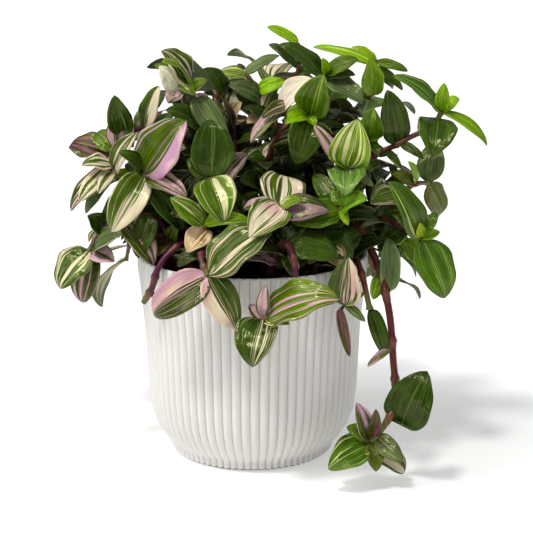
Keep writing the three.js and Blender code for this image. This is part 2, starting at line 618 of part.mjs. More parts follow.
const stems = [
  ...Object.entries(seenStems).map(([name, rows]) => readStem(name, rows)),
  ...Object.entries(ruledStems).map(([name, rows]) => ruleStem(name, rows)),
];
stems.forEach((stem) => {
  stem.line = stemLine(stem);
  const spots = stem.curve.getSpacedPoints(Math.round(stem.curve.getLength() / stemSample));
  take(spots.map((point) => ({ point, nearRoot: false })), stem.name);
});
stems.forEach(settle);

function addPiece(group, name, solid, colour, roughness) {
  const material = new THREE.MeshStandardMaterial({ color: colour, roughness, metalness: 0 });
  const mesh = new THREE.Mesh(toGeometry(solid), material);
  mesh.name = name;
  group.add(mesh);
}

// A leafy stem takes the mean colour of its leaves, each by its width
function foliageColour(stem) {
  const mean = new THREE.Color(0, 0, 0);
  const total = stem.leaves.reduce((sum, leaf) => sum + leaf.width, 0);
  if (total === 0) return new THREE.Color(lookColours.K);
  stem.leaves.forEach((leaf) => {
    mean.add(new THREE.Color(lookColours[leaf.look]).multiplyScalar(leaf.width / total));
  });
  return mean;
}

const plant = new THREE.Group();
addPiece(plant, 'pot', pot(), potColour, 0.45);
addPiece(plant, 'soil', soil(stems.map((stem) => stemHole(stem.foot, stem.radius))), soilColour, 0.95);
stems.forEach((stem) => addPiece(plant, stem.name, leafyStem(stem), foliageColour(stem), 0.4));

export default plant;
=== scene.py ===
import math
import random

import bpy
import numpy as np
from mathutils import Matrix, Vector, noise


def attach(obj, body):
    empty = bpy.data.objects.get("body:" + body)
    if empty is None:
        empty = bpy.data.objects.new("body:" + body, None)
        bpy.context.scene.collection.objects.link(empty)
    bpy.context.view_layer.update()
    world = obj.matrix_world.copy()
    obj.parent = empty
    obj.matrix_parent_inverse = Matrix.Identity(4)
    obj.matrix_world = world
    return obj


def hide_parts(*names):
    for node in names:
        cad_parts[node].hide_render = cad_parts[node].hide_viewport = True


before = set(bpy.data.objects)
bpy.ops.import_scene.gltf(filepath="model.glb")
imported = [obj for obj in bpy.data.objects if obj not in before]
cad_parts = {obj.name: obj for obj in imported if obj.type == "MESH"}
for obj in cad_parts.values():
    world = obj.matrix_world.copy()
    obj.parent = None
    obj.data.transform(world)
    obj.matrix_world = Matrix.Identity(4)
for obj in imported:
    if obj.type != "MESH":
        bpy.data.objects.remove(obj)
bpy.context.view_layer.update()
mm = 0.001
upward = np.array([0, 0, 1.0])


def unit(vector):
    return vector / np.linalg.norm(vector)


def turned(vectors, axis, angle):
    along = axis * (vectors @ axis)[..., None] * (1 - math.cos(angle))
    return vectors * math.cos(angle) + np.cross(axis, vectors) * math.sin(angle) + along


def within(span, share):  # the first number and a share of the second on top
    return span[0] + span[1] * share


def deselectAll():
    if bpy.context.object and bpy.context.object.mode != 'OBJECT':
        bpy.ops.object.mode_set(mode='OBJECT')
    bpy.ops.object.select_all(action='DESELECT')


def pickOnly(piece):
    deselectAll()
    piece.select_set(True)
    bpy.context.view_layer.objects.active = piece


def bakePlace(piece):  # the place goes into the mesh
    pickOnly(piece)
    bpy.ops.object.transform_apply(location=True, rotation=True, scale=True)


def shapeAs(piece, points):
    piece.data.vertices.foreach_set('co', np.asarray(points, dtype=np.float32).ravel())
    piece.data.update()


def pointsOf(piece):
    flat = np.empty(len(piece.data.vertices) * 3, dtype=np.float32)
    piece.data.vertices.foreach_get('co', flat)
    return flat.reshape(-1, 3).astype(float)


def copyOf(template, name):
    piece = bpy.data.objects.new(name, template.data.copy())
    bpy.context.collection.objects.link(piece)
    return piece


def joined(pieces, name):
    deselectAll()
    for piece in pieces:
        piece.select_set(True)
    bpy.context.view_layer.objects.active = pieces[0]
    bpy.ops.object.join()
    pieces[0].name = name
    return pieces[0]


def ringStack(name, sides, path):  # rings of (radius, height) pulled one from another, closed at both ends
    deselectAll()
    radius, height = path[0]
    bpy.ops.mesh.primitive_circle_add(vertices=sides, radius=radius * mm, location=(0, 0, height * mm))
    piece = bpy.context.object
    piece.name = name
    bakePlace(piece)
    bpy.ops.object.mode_set(mode='EDIT')
    bpy.ops.mesh.select_all(action='SELECT')
    for was, now in zip(path, path[1:]):
        grown = now[0] / was[0]
        bpy.ops.mesh.extrude_region_move(TRANSFORM_OT_translate={'value': (0, 0, (now[1] - was[1]) * mm)})
        bpy.ops.transform.resize(value=(grown, grown, 1), center_override=(0, 0, now[1] * mm))
    bpy.ops.mesh.edge_face_add()  # closes the last ring
    bpy.ops.mesh.select_all(action='DESELECT')
    bpy.ops.object.mode_set(mode='OBJECT')
    for edge in piece.data.edges:
        edge.select = edge.index < sides
    bpy.ops.object.mode_set(mode='EDIT')
    bpy.ops.mesh.select_mode(type='EDGE')
    bpy.ops.mesh.edge_face_add()  # closes the first ring
    bpy.ops.mesh.select_all(action='SELECT')
    bpy.ops.mesh.normals_make_consistent(inside=False)
    bpy.ops.object.mode_set(mode='OBJECT')
    return piece


def tubes(name, lines, radii, resolution):  # a closed tube along each line, with a radius at each point
    deselectAll()
    bpy.ops.curve.primitive_nurbs_path_add(location=(0, 0, 0))
    piece = bpy.context.object
    curve = piece.data
    curve.splines.clear()
    for line, widths in zip(lines, radii):
        spline = curve.splines.new('POLY')
        spline.points.add(len(line) - 1)
        spline.points.foreach_set('co', np.hstack([line * mm, np.ones((len(line), 1))]).ravel())
        spline.points.foreach_set('radius', widths)
    curve.bevel_depth = mm
    curve.bevel_resolution = resolution
    curve.use_fill_caps = True
    pickOnly(piece)
    bpy.ops.object.convert(target='MESH')
    piece = bpy.context.object
    piece.name = name
    return piece


# Shader sums
class Wire:  # a socket that sums are written with
    def __init__(self, tree, socket=None):
        self.tree = tree
        self.socket = socket

    def node(self, kind, settings=None, values=None, output=0):
        made = self.tree.nodes.new(kind)
        for name, value in (settings or {}).items():
            setattr(made, name, value)
        for name, value in (values or {}).items():
            if isinstance(value, Wire):
                self.tree.links.new(value.socket, made.inputs[name])
            else:
                made.inputs[name].default_value = value
        return Wire(self.tree, made.outputs[output])

    def sum(self, operation, *values):
        return self.node('ShaderNodeMath', {'operation': operation}, dict(enumerate(values)))

    def __add__(self, other):
        return self.sum('ADD', self, other)

    def __sub__(self, other):
        return self.sum('SUBTRACT', self, other)

    def __mul__(self, other):
        return self.sum('MULTIPLY', self, other)

    def __radd__(self, other):
        return self.sum('ADD', other, self)

    def __rsub__(self, other):
        return self.sum('SUBTRACT', other, self)

    def __rmul__(self, other):
        return self.sum('MULTIPLY', other, self)

    def size(self):
        return self.sum('ABSOLUTE', self)

    def held(self):  # kept between 0 and 1
        return self.node('ShaderNodeClamp', {}, {'Value': self})

    def ramp(self, low, high):  # 0 at low, 1 at high, eased
        return self.node('ShaderNodeMapRange', {'interpolation_type': 'SMOOTHSTEP'},
                         {'Value': self, 'From Min': low, 'From Max': high})

    def other(self, name):  # another output of the same node
        return Wire(self.tree, self.socket.node.outputs[name])

    def spread(self, reach, middle):  # a noise that varies by reach, about middle
        return self.sum('MULTIPLY_ADD', self - 0.5, reach, middle)

    def blend(self, first, second):  # first colour where this is 0, second where it is 1
        return self.node('ShaderNodeMix', {'data_type': 'RGBA'}, {0: self, 6: first, 7: second}, 2)

    def scaled(self, factor):
        return self.node('ShaderNodeVectorMath', {'operation': 'SCALE'}, {0: self, 'Scale': factor})

    def parts(self):
        split = self.node('ShaderNodeSeparateXYZ', {}, {0: self})
        return [split.other(index) for index in range(3)]

    def join(self, x, y, z):
        return self.node('ShaderNodeCombineXYZ', {}, {0: x, 1: y, 2: z})

    def place(self):  # where it is on the object
        return self.node('ShaderNodeTexCoord', {}, {}, 'Object')

    def noise(self, vector, scale, detail):
        return self.node('ShaderNodeTexNoise', {}, {'Vector': vector, 'Scale': scale, 'Detail': detail})


def rgb(code):  # a display colour such as 'eeebe6' in the shader's own scale
    values = [int(code[index:index + 2], 16) / 255 for index in (0, 2, 4)]
    return tuple(v / 12.92 if v <= 0.04045 else ((v + 0.055) / 1.055) ** 2.4 for v in values)


def paintOf(code):  # the same, with its alpha
    return (*rgb(code), 1)


def newFinish(name):
    material = bpy.data.materials.new(name)
    material.use_nodes = True
    tree = material.node_tree
    shader = tree.nodes['Principled BSDF']
    return material, Wire(tree), shader


def setInputs(node, values):
    for name, value in values.items():
        node.inputs[name].default_value = value


def feed(shader, name, wire):
    shader.id_data.links.new(wire.socket, shader.inputs[name])


def roughen(shader, height, strength, depth):
    feed(shader, 'Normal', height.node(
        'ShaderNodeBump', {}, {'Height': height, 'Strength': strength, 'Distance': depth}))


# Pot
pot = {  # lengths in mm, as in all the settings down to the studio's, but bump depths in metres
    'rimRadius': 70, 'height': 124, 'wall': 2.8, 'crease': 35,
    'lipRound': 1.2, 'lipSteps': 4, 'lipAngles': (10, 90, 170),
    'ribs': 72, 'ribDepth': 1.8, 'ribTurn': 1.6, 'ribRound': 0.5, 'ribArc': 0.985,
    'ribShape': (-1, -0.93, -0.78, -0.5, -0.17, 0.17, 0.5, 0.78, 0.93),
    # radius and height up the outside from the underside's middle, then down the inside
    'underside': [(2, 1.6), (30, 1.6), (45.4, 1.5), (46.2, 0.3), (46.8, 0)],
    'outside': [(47.5, 0), (47.6, 0.9), (49.6, 1.2), (49.9, 2.4), (50.0, 4.6), (51.0, 6.6), (54.6, 10),
                (59.7, 18), (62.9, 27), (64.4, 39), (65.1, 53), (65.6, 66), (66.2, 79), (67.2, 90),
                (68.7, 104), (70, 116), (70, 122.6)],
    'inside': [(67.2, 122.8), (67.2, 116), (65.4, 96), (62.4, 68), (58.6, 26), (45, 4.2), (2, 4.2)],
    # innerGlazePaintedShade is the white glaze painted darker, as painted shade on the pot's inner wall
    'glaze': ('dad8d4', 'd7d5d0'), 'innerGlazePaintedShade': ('c4c2bf', 'bab8b4'), 'footRingPaintedShade': ('4a443e', '5c544c'),
    'cloudScale': 30, 'cloudEdge': (0.35, 0.65), 'roughness': 0.42, 'roughRange': 0.12,
    'speckleScale': 900, 'speckle': 0.12, 'speckleDepth': 0.0002,
}


def lipArc(middle, start, end):
    lip = pot['lipRound']
    return [(middle + lip * math.cos(math.radians(a)), pot['height'] - lip + lip * math.sin(math.radians(a)))
            for a in np.linspace(start, end, pot['lipSteps'])]


def buildPot():
    shape = np.array(pot['ribShape'])
    columns = pot['ribs'] * len(shape)
    outer, lip = pot['rimRadius'], pot['lipRound']
    start, top, end = pot['lipAngles']
    arc = lipArc(outer - lip, start, top) + lipArc(outer - pot['wall'] + lip, top, end)
    path = pot['underside'] + pot['outside'] + arc + pot['inside']
    piece = ringStack('ribbedPot', columns, path)
    spots = pointsOf(piece)
    rings = spots.reshape(len(path), columns, 3)
    ribs = np.repeat(np.arange(pot['ribs']), len(shape))
    turn = np.tile(shape, pot['ribs'])
    angle = (ribs + turn / 2) * math.tau / pot['ribs'] + math.radians(pot['ribTurn'])
    arched = 1 - np.sqrt(1 - turn ** 2 * pot['ribArc'])
    dip = pot['ribRound'] * turn ** 2 + (1 - pot['ribRound']) * arched
    footRing = len(pot['underside'])
    ribbed = range(footRing, footRing + len(pot['outside']) + 2)
    for index, (radius, height) in enumerate(path):
        reach = (radius - (pot['ribDepth'] * dip if index in ribbed else 0)) * mm
        rings[index, :, 0] = reach * np.cos(angle)
        rings[index, :, 1] = reach * np.sin(angle)
    shapeAs(piece, spots)
    # faces from here inward take the darker copy of the glaze: painted shade inside the pot
    innerFrom = len(path) - len(pot['inside']) - 1
    for face in piece.data.polygons:
        ring = min(face.vertices) // columns
        # slot 2 is the foot ring's recess wall, painted dark brown-grey: painted shade where the pot stands
        # on the floor
        face.material_index = 2 if ring == footRing else int(ring >= innerFrom)
    pickOnly(piece)
    bpy.ops.object.shade_smooth_by_angle(angle=math.radians(pot['crease']))
    return piece


def potFinish(name):
    material, wire, shader = newFinish(name)
    light, shade = pot[name]
    cloud = wire.noise(wire.place(), pot['cloudScale'], 3)
    feed(shader, 'Base Color', cloud.ramp(*pot['cloudEdge']).blend(paintOf(light), paintOf(shade)))
    feed(shader, 'Roughness', cloud.spread(pot['roughRange'], pot['roughness']))
    speckle = wire.noise(wire.place(), pot['speckleScale'], 2)
    roughen(shader, speckle, pot['speckle'], pot['speckleDepth'])
    return material


print('pot')
potPiece = buildPot()
for finish in ('glaze', 'innerGlazePaintedShade', 'footRingPaintedShade'):
    potPiece.data.materials.append(potFinish(finish))
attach(potPiece, 'root')
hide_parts('pot')


# Soil
soil = {
    'sides': 120, 'wall': [(44.4, 4.6), (57.8, 26), (61.6, 68), (66.2, 111)], 'top': 114.2, 'rings': 24,
    'middle': 0.3, 'lumpSize': 14, 'lumps': 1.5, 'crumbSize': 4, 'crumbs': 1.1, 'seed': 11,
    'grit': 240, 'gritReach': 64, 'gritSize': (0.5, 1.5), 'gritLong': (1, 0.6), 'gritFlat': (0.6, 0.4),
    'gritRough': 0.7, 'gritRise': 0.3, 'fibres': 110, 'fibreReach': 62, 'fibreEdge': 65,
    'fibreStep': (1, 1.6), 'fibreBend': 0.9, 'fibrePoints': 6, 'fibreRise': 0.5, 'fibreWave': 1.3,
    'fibreWidth': 0.28,
    # dark and light colour and noise scale of each look
    'soilCrumb': ('0f0a07', '2e2018', 260), 'soilGritty': ('0f0a07', '2e2018', 500),
    'soilFibre': ('6b4d33', '9a7a55', 700), 'tintEdge': (0.38, 0.68), 'finish': {'Roughness': 0.95},
    'bumpScale': 2.5, 'bump': 0.8, 'bumpDepth': 0.001,
}


def soilHeight(x, y):
    lump = noise.noise(Vector((x, y, 0)) / soil['lumpSize']) * soil['lumps']
    return soil['top'] + lump + noise.noise(Vector((x, y, 7)) / soil['crumbSize']) * soil['crumbs']


def buildSoil():
    edge = soil['wall'][-1][0]
    count, top = soil['rings'], soil['top']
    inward = [(edge * (1 - step / count) + soil['middle'], top) for step in range(1, count)]
    piece = ringStack('soilBed', soil['sides'], [*soil['wall'], (edge, top), *inward])
    spots = pointsOf(piece) / mm
    upper = spots[:, 2] > top - 1
    spots[upper, 2] = [soilHeight(x, y) for x, y in spots[upper, :2]]
    shapeAs(piece, spots * mm)
    pickOnly(piece)
    bpy.ops.object.shade_smooth()
    return piece


def soilFinish(name):
    material, wire, shader = newFinish(name)
    dark, light, scale = soil[name]
    tint = wire.noise(wire.place(), scale, 4).ramp(*soil['tintEdge'])
    feed(shader, 'Base Color', tint.blend(paintOf(dark), paintOf(light)))
    setInputs(shader, soil['finish'])
    height = wire.noise(wire.place(), scale * soil['bumpScale'], 4)
    roughen(shader, height, soil['bump'], soil['bumpDepth'])
    return material


def soilSpot(draw, most):
    reach = most * math.sqrt(draw())
    angle = draw() * math.tau
    return reach * math.cos(angle), reach * math.sin(angle)


def buildGrit(draw):
    deselectAll()
    bpy.ops.mesh.primitive_ico_sphere_add(subdivisions=1, radius=1)
    template = bpy.context.object
    bakePlace(template)
    ball = pointsOf(template)
    bits = []
    for number in range(soil['grit']):
        x, y = soilSpot(draw, soil['gritReach'])
        girth = within(soil['gritSize'], draw() ** 2)
        size = girth * np.array([within(soil['gritLong'], draw()), 1, within(soil['gritFlat'], draw())])
        angle = draw() * math.tau
        rough = np.array([1 + (draw() - 0.5) * soil['gritRough'] for point in ball])[:, None]
        shape = turned(ball * rough * size, upward, angle)
        bit = copyOf(template, 'bit')
        shapeAs(bit, (shape + [x, y, soilHeight(x, y) + size[2] * soil['gritRise']]) * mm)
        bits.append(bit)
    bpy.data.objects.remove(template)
    return joined(bits, 'soilGrit')


def buildFibres(draw):
    lines = []
    for number in range(soil['fibres']):
        x, y = soilSpot(draw, soil['fibreReach'])
        heading = draw() * math.tau
        bend = (draw() - 0.5) * soil['fibreBend']
        step = within(soil['fibreStep'], draw())
        line = []
        for place in range(soil['fibrePoints']):
            if math.hypot(x, y) > soil['fibreEdge']:
                break
            rise = soil['fibreRise'] * (1 + math.sin(place * soil['fibreWave'] + heading))
            line.append((x, y, soilHeight(x, y) + rise))
            x, y = x + step * math.cos(heading), y + step * math.sin(heading)
            heading += bend
        if len(line) > 2:
            lines.append(np.array(line))
    return tubes('soilFibres', lines, [np.full(len(line), soil['fibreWidth']) for line in lines], 0)


print('soil')
bed = buildSoil()
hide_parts('soil')
drawSoil = random.Random(soil['seed']).random
grit = buildGrit(drawSoil)
fibres = buildFibres(drawSoil)
for piece, finish in ((bed, 'soilCrumb'), (grit, 'soilGritty'), (fibres, 'soilFibre')):
    piece.data.materials.append(soilFinish(finish))
    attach(piece, 'root')


# Leafy stems. The plant was measured from the front, by an eye at this distance and height (mm) on the
# middle line of its width. A place is (across, up, out): where it is seen on the upright plane through
# the pot's axis, and how far in front of that plane it really is.
sight = {'middle': 8.5, 'distance': 960, 'height': 356, 'side': (0, -0.75, 0.66)}
growth = {  # a pair that a draw goes into is the least and how much more; roll and bend are in radians
    'soilTop': 114, 'holeDepth': 20, 'gap': 0.3, 'firstLift': 3, 'leafSeed': 2027,
    'leafLength': (36, 10), 'slimness': 0.52, 'fullness': (0.85, 0.3), 'rollRange': 0.5,
    'bend': (0.35, 0.75), 'fold': (0.1, 0.25), 'leastRoot': 1.1, 'rootPower': 0.55, 'tipPower': 0.85,
    'rootShare': 0.1, 'courseSteps': 200, 'nearby': 0.0001, 'sampleStep': 3, 'stemSample': 2.5,
    'leafClearance': 2.8, 'ownClearance': 2.2, 'nearRoot': 0.22, 'potMargin': 1.2,
    'soilMargin': 2, 'soilEdge': 4, 'standClearance': 0.8,
    'leanTries': (0, 4, -4, 8, -8, 12, -12, 16, -16, 20, -20),
    'turnTries': ((0, 0), (14, 0), (-14, 0), (0, 14), (0, -14), (28, 8), (-28, 8), (0, 28), (20, -20),
                  (-20, -20), (45, 0), (-45, 0)),
    # ruled stems: their places, how their leaves stand, and the looks drawn for them
    'ruledRadius': 1.3, 'sway': 6, 'places': (0.12, 0.45, 0.8, 1), 'firstRise': 0.6, 'firstLeaf': 0.26,
    'spread': (0.75, 0.35), 'onward': 0.5, 'outward': 0.35, 'rise': 0.25, 'ruledFacing': (0.55, 0.83),
    'ruledLooks': 'GDSCPBGYDSGS',
    'outsideProfile': ((48.8, 0), (59.6, 16), (64.8, 45), (70, 124)),
}
# root on the soil (across, out), course, radius, then each leaf as (base across, up, out, tip across, up,
# lean out, width, look)
seenStems = {
    'stem_left_top': ((-16, 4), ((-20, 160, 2), (-29, 200, 6), (-41, 217, 6), (-41, 228, 6)), 1.2, (
        (-37, 227, 6, -52, 246, 8, 19, 'S'), (-38, 226, 8, -52, 240, 14, 12, 'B'),
        (-43, 227, 7, -34, 219.5, 9, 8, 'Y'), (-36, 222, 8, -27, 228.5, 5, 8, 'Y'),
        (-44, 220, 8, -54.5, 236.5, 8, 12, 'W'), (-41, 223, 8, -51, 215, 9, 12, 'P'),
        (-34, 218, 8, -15, 188, 12, 16, 'U'), (-30, 199, 8, -50.5, 211, 12, 15, 'D'))),
    'stem_left_mid': ((-34, 10), ((-46, 150, 10), (-56, 185, 10), (-66, 199, 10), (-78, 192, 12),
        (-84, 176, 15)), 1.3, (
        (-77, 195, 12, -82, 218, 12, 15, 'D'), (-64, 200, 10, -56, 224.5, 6, 13, 'H'),
        (-70, 201, 6, -52, 220, -10, 9, 'U'), (-81, 187, 14, -74, 209, 16, 17, 'P'),
        (-83, 173, 16, -70, 196.5, 14, 12, 'C'), (-84, 177, 16, -102, 178, 8, 13, 'C'),
        (-82, 186, 13, -94, 197, 6, 13, 'G'), (-86, 184, 12, -110, 191, -6, 20, 'K'),
        (-87, 176, 12, -111, 149, 2, 12, 'P'), (-86, 175, 16, -105, 155, 14, 12, 'C'),
        (-84, 173, 18, -93, 160, 10, 9, 'C'), (-84, 172, 14, -102, 147, -8, 9, 'D'))),
    'stem_left_rosette': ((-28, 26), ((-42, 142, 30), (-56, 160, 35), (-66, 172, 36)), 1.6, (
        (-65, 172, 36, -41.5, 204, 8, 29, '8'), (-65.5, 171, 36, -86, 136, 12, 21, '9'),
        (-67, 172, 36, -79, 185, 14, 12, 'D'), (-62, 168, 36, -42, 137, 14, 17, 'D'),
        (-63, 170, 36, -40, 158, 18, 14, 'P'))),
    'stem_left_low': ((-50, 12), ((-60, 140, 14), (-78, 147, 17), (-92, 136, 19), (-99.5, 124, 20)), 1.6, (
        (-100, 124.5, 20, -119.5, 101, 8, 22, 'S'), (-98.5, 123, 20, -105, 90.5, 10, 18, '7'),
        (-97, 126, 20, -79, 136, 6, 14, 'U'), (-98, 124, 20, -85, 118, 12, 13, 'P'),
        (-90, 137, 19, -99, 146, 8, 13, 'D'))),
    'stem_left_rim': ((-44, 22), ((-50, 130, 26), (-56, 142, 31), (-66, 147, 34), (-78, 144, 35)), 1.5, (
        (-62, 147, 34, -70, 119.5, 10, 15, 'D'), (-78, 144, 35, -60, 115.5, 10, 17, 'P'),
        (-51, 133, 30, -67, 121, 16, 16, 'K'), (-50, 130, 30, -45, 141, 8, 9, 'O'))),
    'stem_broken': ((-36, 36), ((-41, 128, 40), (-51, 122, 46), (-58, 112, 49), (-61.5, 101, 49),
        (-67, 91, 47)), 2.0, ()),
    'stem_front_left': ((-22, 42), ((-24, 124, 52), (-30, 124, 62), (-31, 118, 72),
        (-27.5, 108, 79)), 1.9, (
        (-25, 110, 80, 11, 139, -4, 28, '1'), (-27, 107, 80, -62.5, 83, -6, 23, '2'),
        (-27, 108, 80, -10, 74, 4, 20, '4'))),
    'stem_front_middle': ((10, 44), ((15, 124, 54), (21, 128, 66), (25, 119, 75), (26, 106, 79),
        (19, 90, 81), (6.5, 80, 81)), 1.9, (
        (6, 81, 82, -1, 51, 6, 25, '1'), (6, 83, 82, 8, 102, 2, 8, 'P'),
        (9, 82, 82, 51.5, 95.5, 4, 28, '3'), (8, 80, 82, 22, 78, 5, 9, 'Y'))),
    'stem_front_rim': ((22, 52), ((22, 118, 56), (21, 122, 60)), 1.2, (
        (19, 121, 61, 5.5, 125, 4, 8, 'D'), (21, 121, 61, 26, 108, 8, 9, 'H'),
        (23, 122, 58, 47, 133, -4, 18, 'D'))),
    'stem_rim_right': ((36, 44), ((40, 121, 49), (44, 131, 53)), 1.3, (
        (44, 130, 54, 54, 114, 12, 14, 'T'), (44, 133, 53, 61, 120, 6, 17, 'D'))),
    'stem_right_striped': ((46, 31), ((52, 121, 40), (59, 119, 49), (60, 108, 57), (56, 89.5, 61)), 1.5, (
        (56, 90, 62, 58, 118, 12, 20, '4'), (57, 91, 62, 68, 97, 5, 8, 'Y'))),
    'stem_right_second': ((32, -6), ((36, 122, -2), (46, 118, 16), (55, 116, 30), (62, 120, 42),
        (67, 108.5, 50), (70, 96, 53), (72, 87, 54)), 1.9, (
        (73, 87, 54, 82, 57, 2, 10, 'D'),)),
    'stem_trailing': ((53, 6), ((55, 126, 15), (58, 137, 24), (61, 141, 30), (65.5, 136.5, 35),
        (72.5, 124, 41), (78, 110.5, 47), (82, 95, 52), (84.5, 82, 55), (86, 68.5, 58), (87, 55, 61),
        (88.5, 40, 64), (88.5, 31, 66), (88, 23.5, 68), (83, 12.5, 71), (74, 1, 72)), 2.2, (
        (83, 98, 50, 83, 132.5, -12, 13, 'U'), (93, 11, 69, 107, 46, 4, 28, 'D'),
        (74, 2, 72, 65, 26, 6, 11, 'Q'), (75, 3, 72, 77, 21, 10, 8, 'K'), (73, 2, 72, 59, 11, 10, 10, 'G'),
        (72, 0, 72, 50, -10, 4, 18, 'D'), (72, -2, 73, 48, -17, 9, 19, 'L'),
        (74, -1, 73, 78, -19, 10, 11, 'O'), (75, 0, 72, 97, -20, 2, 16, 'S'),
        (77, 4, 71, 94, -13, -8, 12, 'U'))),
    'stem_right_cluster': ((52, 2), ((62, 136, 10), (78, 144, 18), (92, 137, 26), (102, 131, 30)), 1.6, (
        (101, 132, 30, 83.5, 167, 6, 18, 'L'), (100, 133, 30, 85, 149, 14, 14, 'G'),
        (103, 133, 30, 112, 148, 8, 9, 'G'), (104, 130, 30, 119, 94, 8, 24, 'L'),
        (90, 137, 26, 77, 125, 12, 15, 'D'))),
    'stem_right_behind': ((56, -14), ((64, 134, -8), (78, 139, 2), (89, 131, 6), (87, 119, 8),
        (79, 109, 9)), 1.1, (
        (90, 130, 6, 108, 112, 4, 14, 'B'), (87, 120, 8, 78, 108, -6, 11, 'B'),
        (79, 110, 9, 74, 93, 4, 9, 'B'), (84, 136, 4, 96, 150, -10, 14, 'B'))),
    'stem_right_mid': ((48, -6), ((58, 138, 2), (72, 151, 10), (88, 159, 14), (98, 165, 8),
        (106, 166, -6)), 1.5, (
        (87, 159, 14, 73, 155, 20, 20, 'R'), (97, 165, 8, 85, 172, 12, 10, 'O'),
        (106.5, 167, -6, 109, 190, -12, 17, 'U'), (106, 165, -6, 115, 145, -14, 17, 'O'),
        (66, 146, 7, 72, 134, 12, 10, 'U'))),
    'stem_middle_right': ((22, 26), ((36, 140, 36), (50, 160, 46), (57, 175, 50)), 1.4, (
        (57, 176, 50, 62.5, 203, 10, 24, 'Y'), (57, 174, 50, 56, 161, 22, 22, '5'),
        (54, 177, 48, 37, 201.5, -6, 9, 'P'))),
    'stem_front_right': ((28, 34), ((38, 133, 43), (47, 144, 54), (55, 151, 60)), 1.3, (
        (53, 149, 60, 24, 142, 4, 18, 'G'), (55, 151, 60, 68, 157, 12, 15, 'M'),
        (55, 152, 60, 52, 165, 12, 12, 'M'), (57, 153, 60, 66, 162, 2, 9, 'M'),
        (52, 150, 57, 37, 172, -8, 13, 'D'))),
    'stem_front_centre': ((6, 30), ((10, 132, 46), (14, 144, 57), (16.5, 152.5, 62)), 1.5, (
        (16, 153, 62, 19, 172, -24, 27, 'C'), (17, 152, 62, -1, 134.5, 16, 22, '0'),
        (18, 152, 62, 30, 156, 8, 8, 'Y'), (15, 153, 62, -6, 150.5, 6, 9, 'P'))),
    'stem_middle_left': ((-9, 24), ((-16, 140, 40), (-23, 158, 50), (-26, 169.5, 52)), 1.5, (
        (-25, 170, 52, -24.5, 205, -8, 25, 'D'), (-26, 168.7, 52, -17.3, 143.5, 18, 24, '6'),
        (-27, 170, 52, -39, 181, 6, 11, 'D'), (-25, 168, 51, -6, 150, -8, 14, 'D'))),
    'stem_front_left_low': ((-20, 34), ((-25, 128, 46), (-29.5, 141, 58)), 1.3, (
        (-30, 141, 58, -49, 157, 6, 12, 'Y'), (-29, 141, 58, -1, 143, 8, 9, 'B'),
        (-27, 138, 55, -40, 124, 6, 15, 'T'))),
    'stem_centre_top': ((3, 12), ((6, 160, 14), (13, 190, 22), (23, 203, 28), (33, 207, 30)), 1.4, (
        (35, 207, 30, 41.5, 230.5, 12, 21, 'G'), (33, 208, 30, 20.5, 208, 8, 11, 'B'),
        (32, 206, 31, 20.5, 203, 10, 8, 'B'), (34, 205, 31, 27, 178, 12, 20, 'D'))),
    'stem_top': ((17, 2), ((24, 170, 0), (34, 203, 2), (43, 231, 5)), 1.2, (
        (42, 230.5, 5, 16.5, 250, 2, 13, 'D'), (44, 232, 5, 62.5, 241, 4, 10, 'G'),
        (45, 230, 5, 61, 232, 12, 9, 'D'), (45, 228, 5, 66, 215.5, 10, 16, 'U'))),
    'stem_top_behind': ((9, -12), ((16, 180, -14), (25, 226, -16), (28, 240, -16), (27, 250, -15)), 1.0, (
        (27, 236, -16, 10, 250, -8, 8, 'D'),)),
    'stem_top_right': ((27, -8), ((38, 170, -8), (48, 199, -6), (59, 209, -4), (69, 217, -2), (72, 228, -1),
        (73.5, 240, 0)), 1.2, (
        (71, 218, -2, 70, 240, 10, 15, 'B'), (73, 237, -4, 36, 248.5, -8, 8, 'B'),
        (69, 217, 0, 66, 207, 16, 12, 'U'))),
    'stem_right_far': ((38, -2), ((54, 160, 2), (72, 182, 4), (85, 188.5, 5), (95, 194, 6), (103, 198, 7),
        (110, 204, 8), (113, 209, 8)), 1.8, (
        (112, 210, 8, 84, 231.5, 4, 12, 'L'), (113, 210, 8, 114, 226, 6, 9, 'B'),
        (114, 210, 8, 123, 218, -4, 8, 'B'), (114, 209, 8, 141.5, 189, 2, 8, 'B'),
        (111, 205, 8, 108.5, 184, 22, 24, 'D'), (87, 190, 5, 81, 221.5, 8, 18, 'D'))),
    'stem_right_inner': ((33, 10), ((46, 140, 16), (60, 165, 20), (70, 192, 20)), 1.2, (
        (70, 193, 20, 72, 210, 14, 16, 'G'), (70, 192, 20, 78, 199, 4, 8, 'B'),
        (55, 156, 18, 40, 178, -4, 14, 'D'))),
    'stem_left_inner': ((-6, -4), ((-9, 160, -4), (-11, 200, 0), (-17, 217, 0)), 1.1, (
        (-17, 217, 0, -27, 235, 8, 15, 'D'), (-12, 204, 2, -7, 215, 6, 8, 'T'),
        (-10, 176, 2, -34, 190, 14, 17, 'G'))),
    'stem_middle_top': ((0, -14), ((2, 170, -10), (6, 205, -4), (4, 222, -4), (-4, 232, -4)), 1.1, (
        (-4, 231, -4, -20, 233, 6, 9, 'Y'), (-4, 232, -5, 16, 243.5, -6, 8, 'U'),
        (5, 216, -3, -13.5, 225.5, 10, 12, 'U'), (4, 222, -2, 20, 227, 6, 10, 'B'),
        (6, 210, -2, 16.5, 229, 6, 8, 'H'), (5, 207, 0, -9.5, 220.5, 14, 9, 'D'),
        (6, 206, 2, -3, 203, 10, 9, 'T'))),
    'stem_cream': ((7, 0), ((10, 170, 6), (14, 200, 12), (15, 210, 13), (23, 214, 15)), 1.1, (
        (17, 212, 14, 34, 229.5, 12, 16, 'W'), (22, 214, 15, 6, 206, 14, 9, 'P'),
        (20, 212, 16, -1.5, 191, 14, 10, 'P'), (13, 190, 12, 4, 176, 16, 12, 'C'),
        (11, 182, 10, -9, 183, 6, 9, 'D'), (10, 176, 9, -7, 166.5, 12, 14, 'D'),
        (11, 172, 8, 33, 158, 12, 17, 'D'))),
}
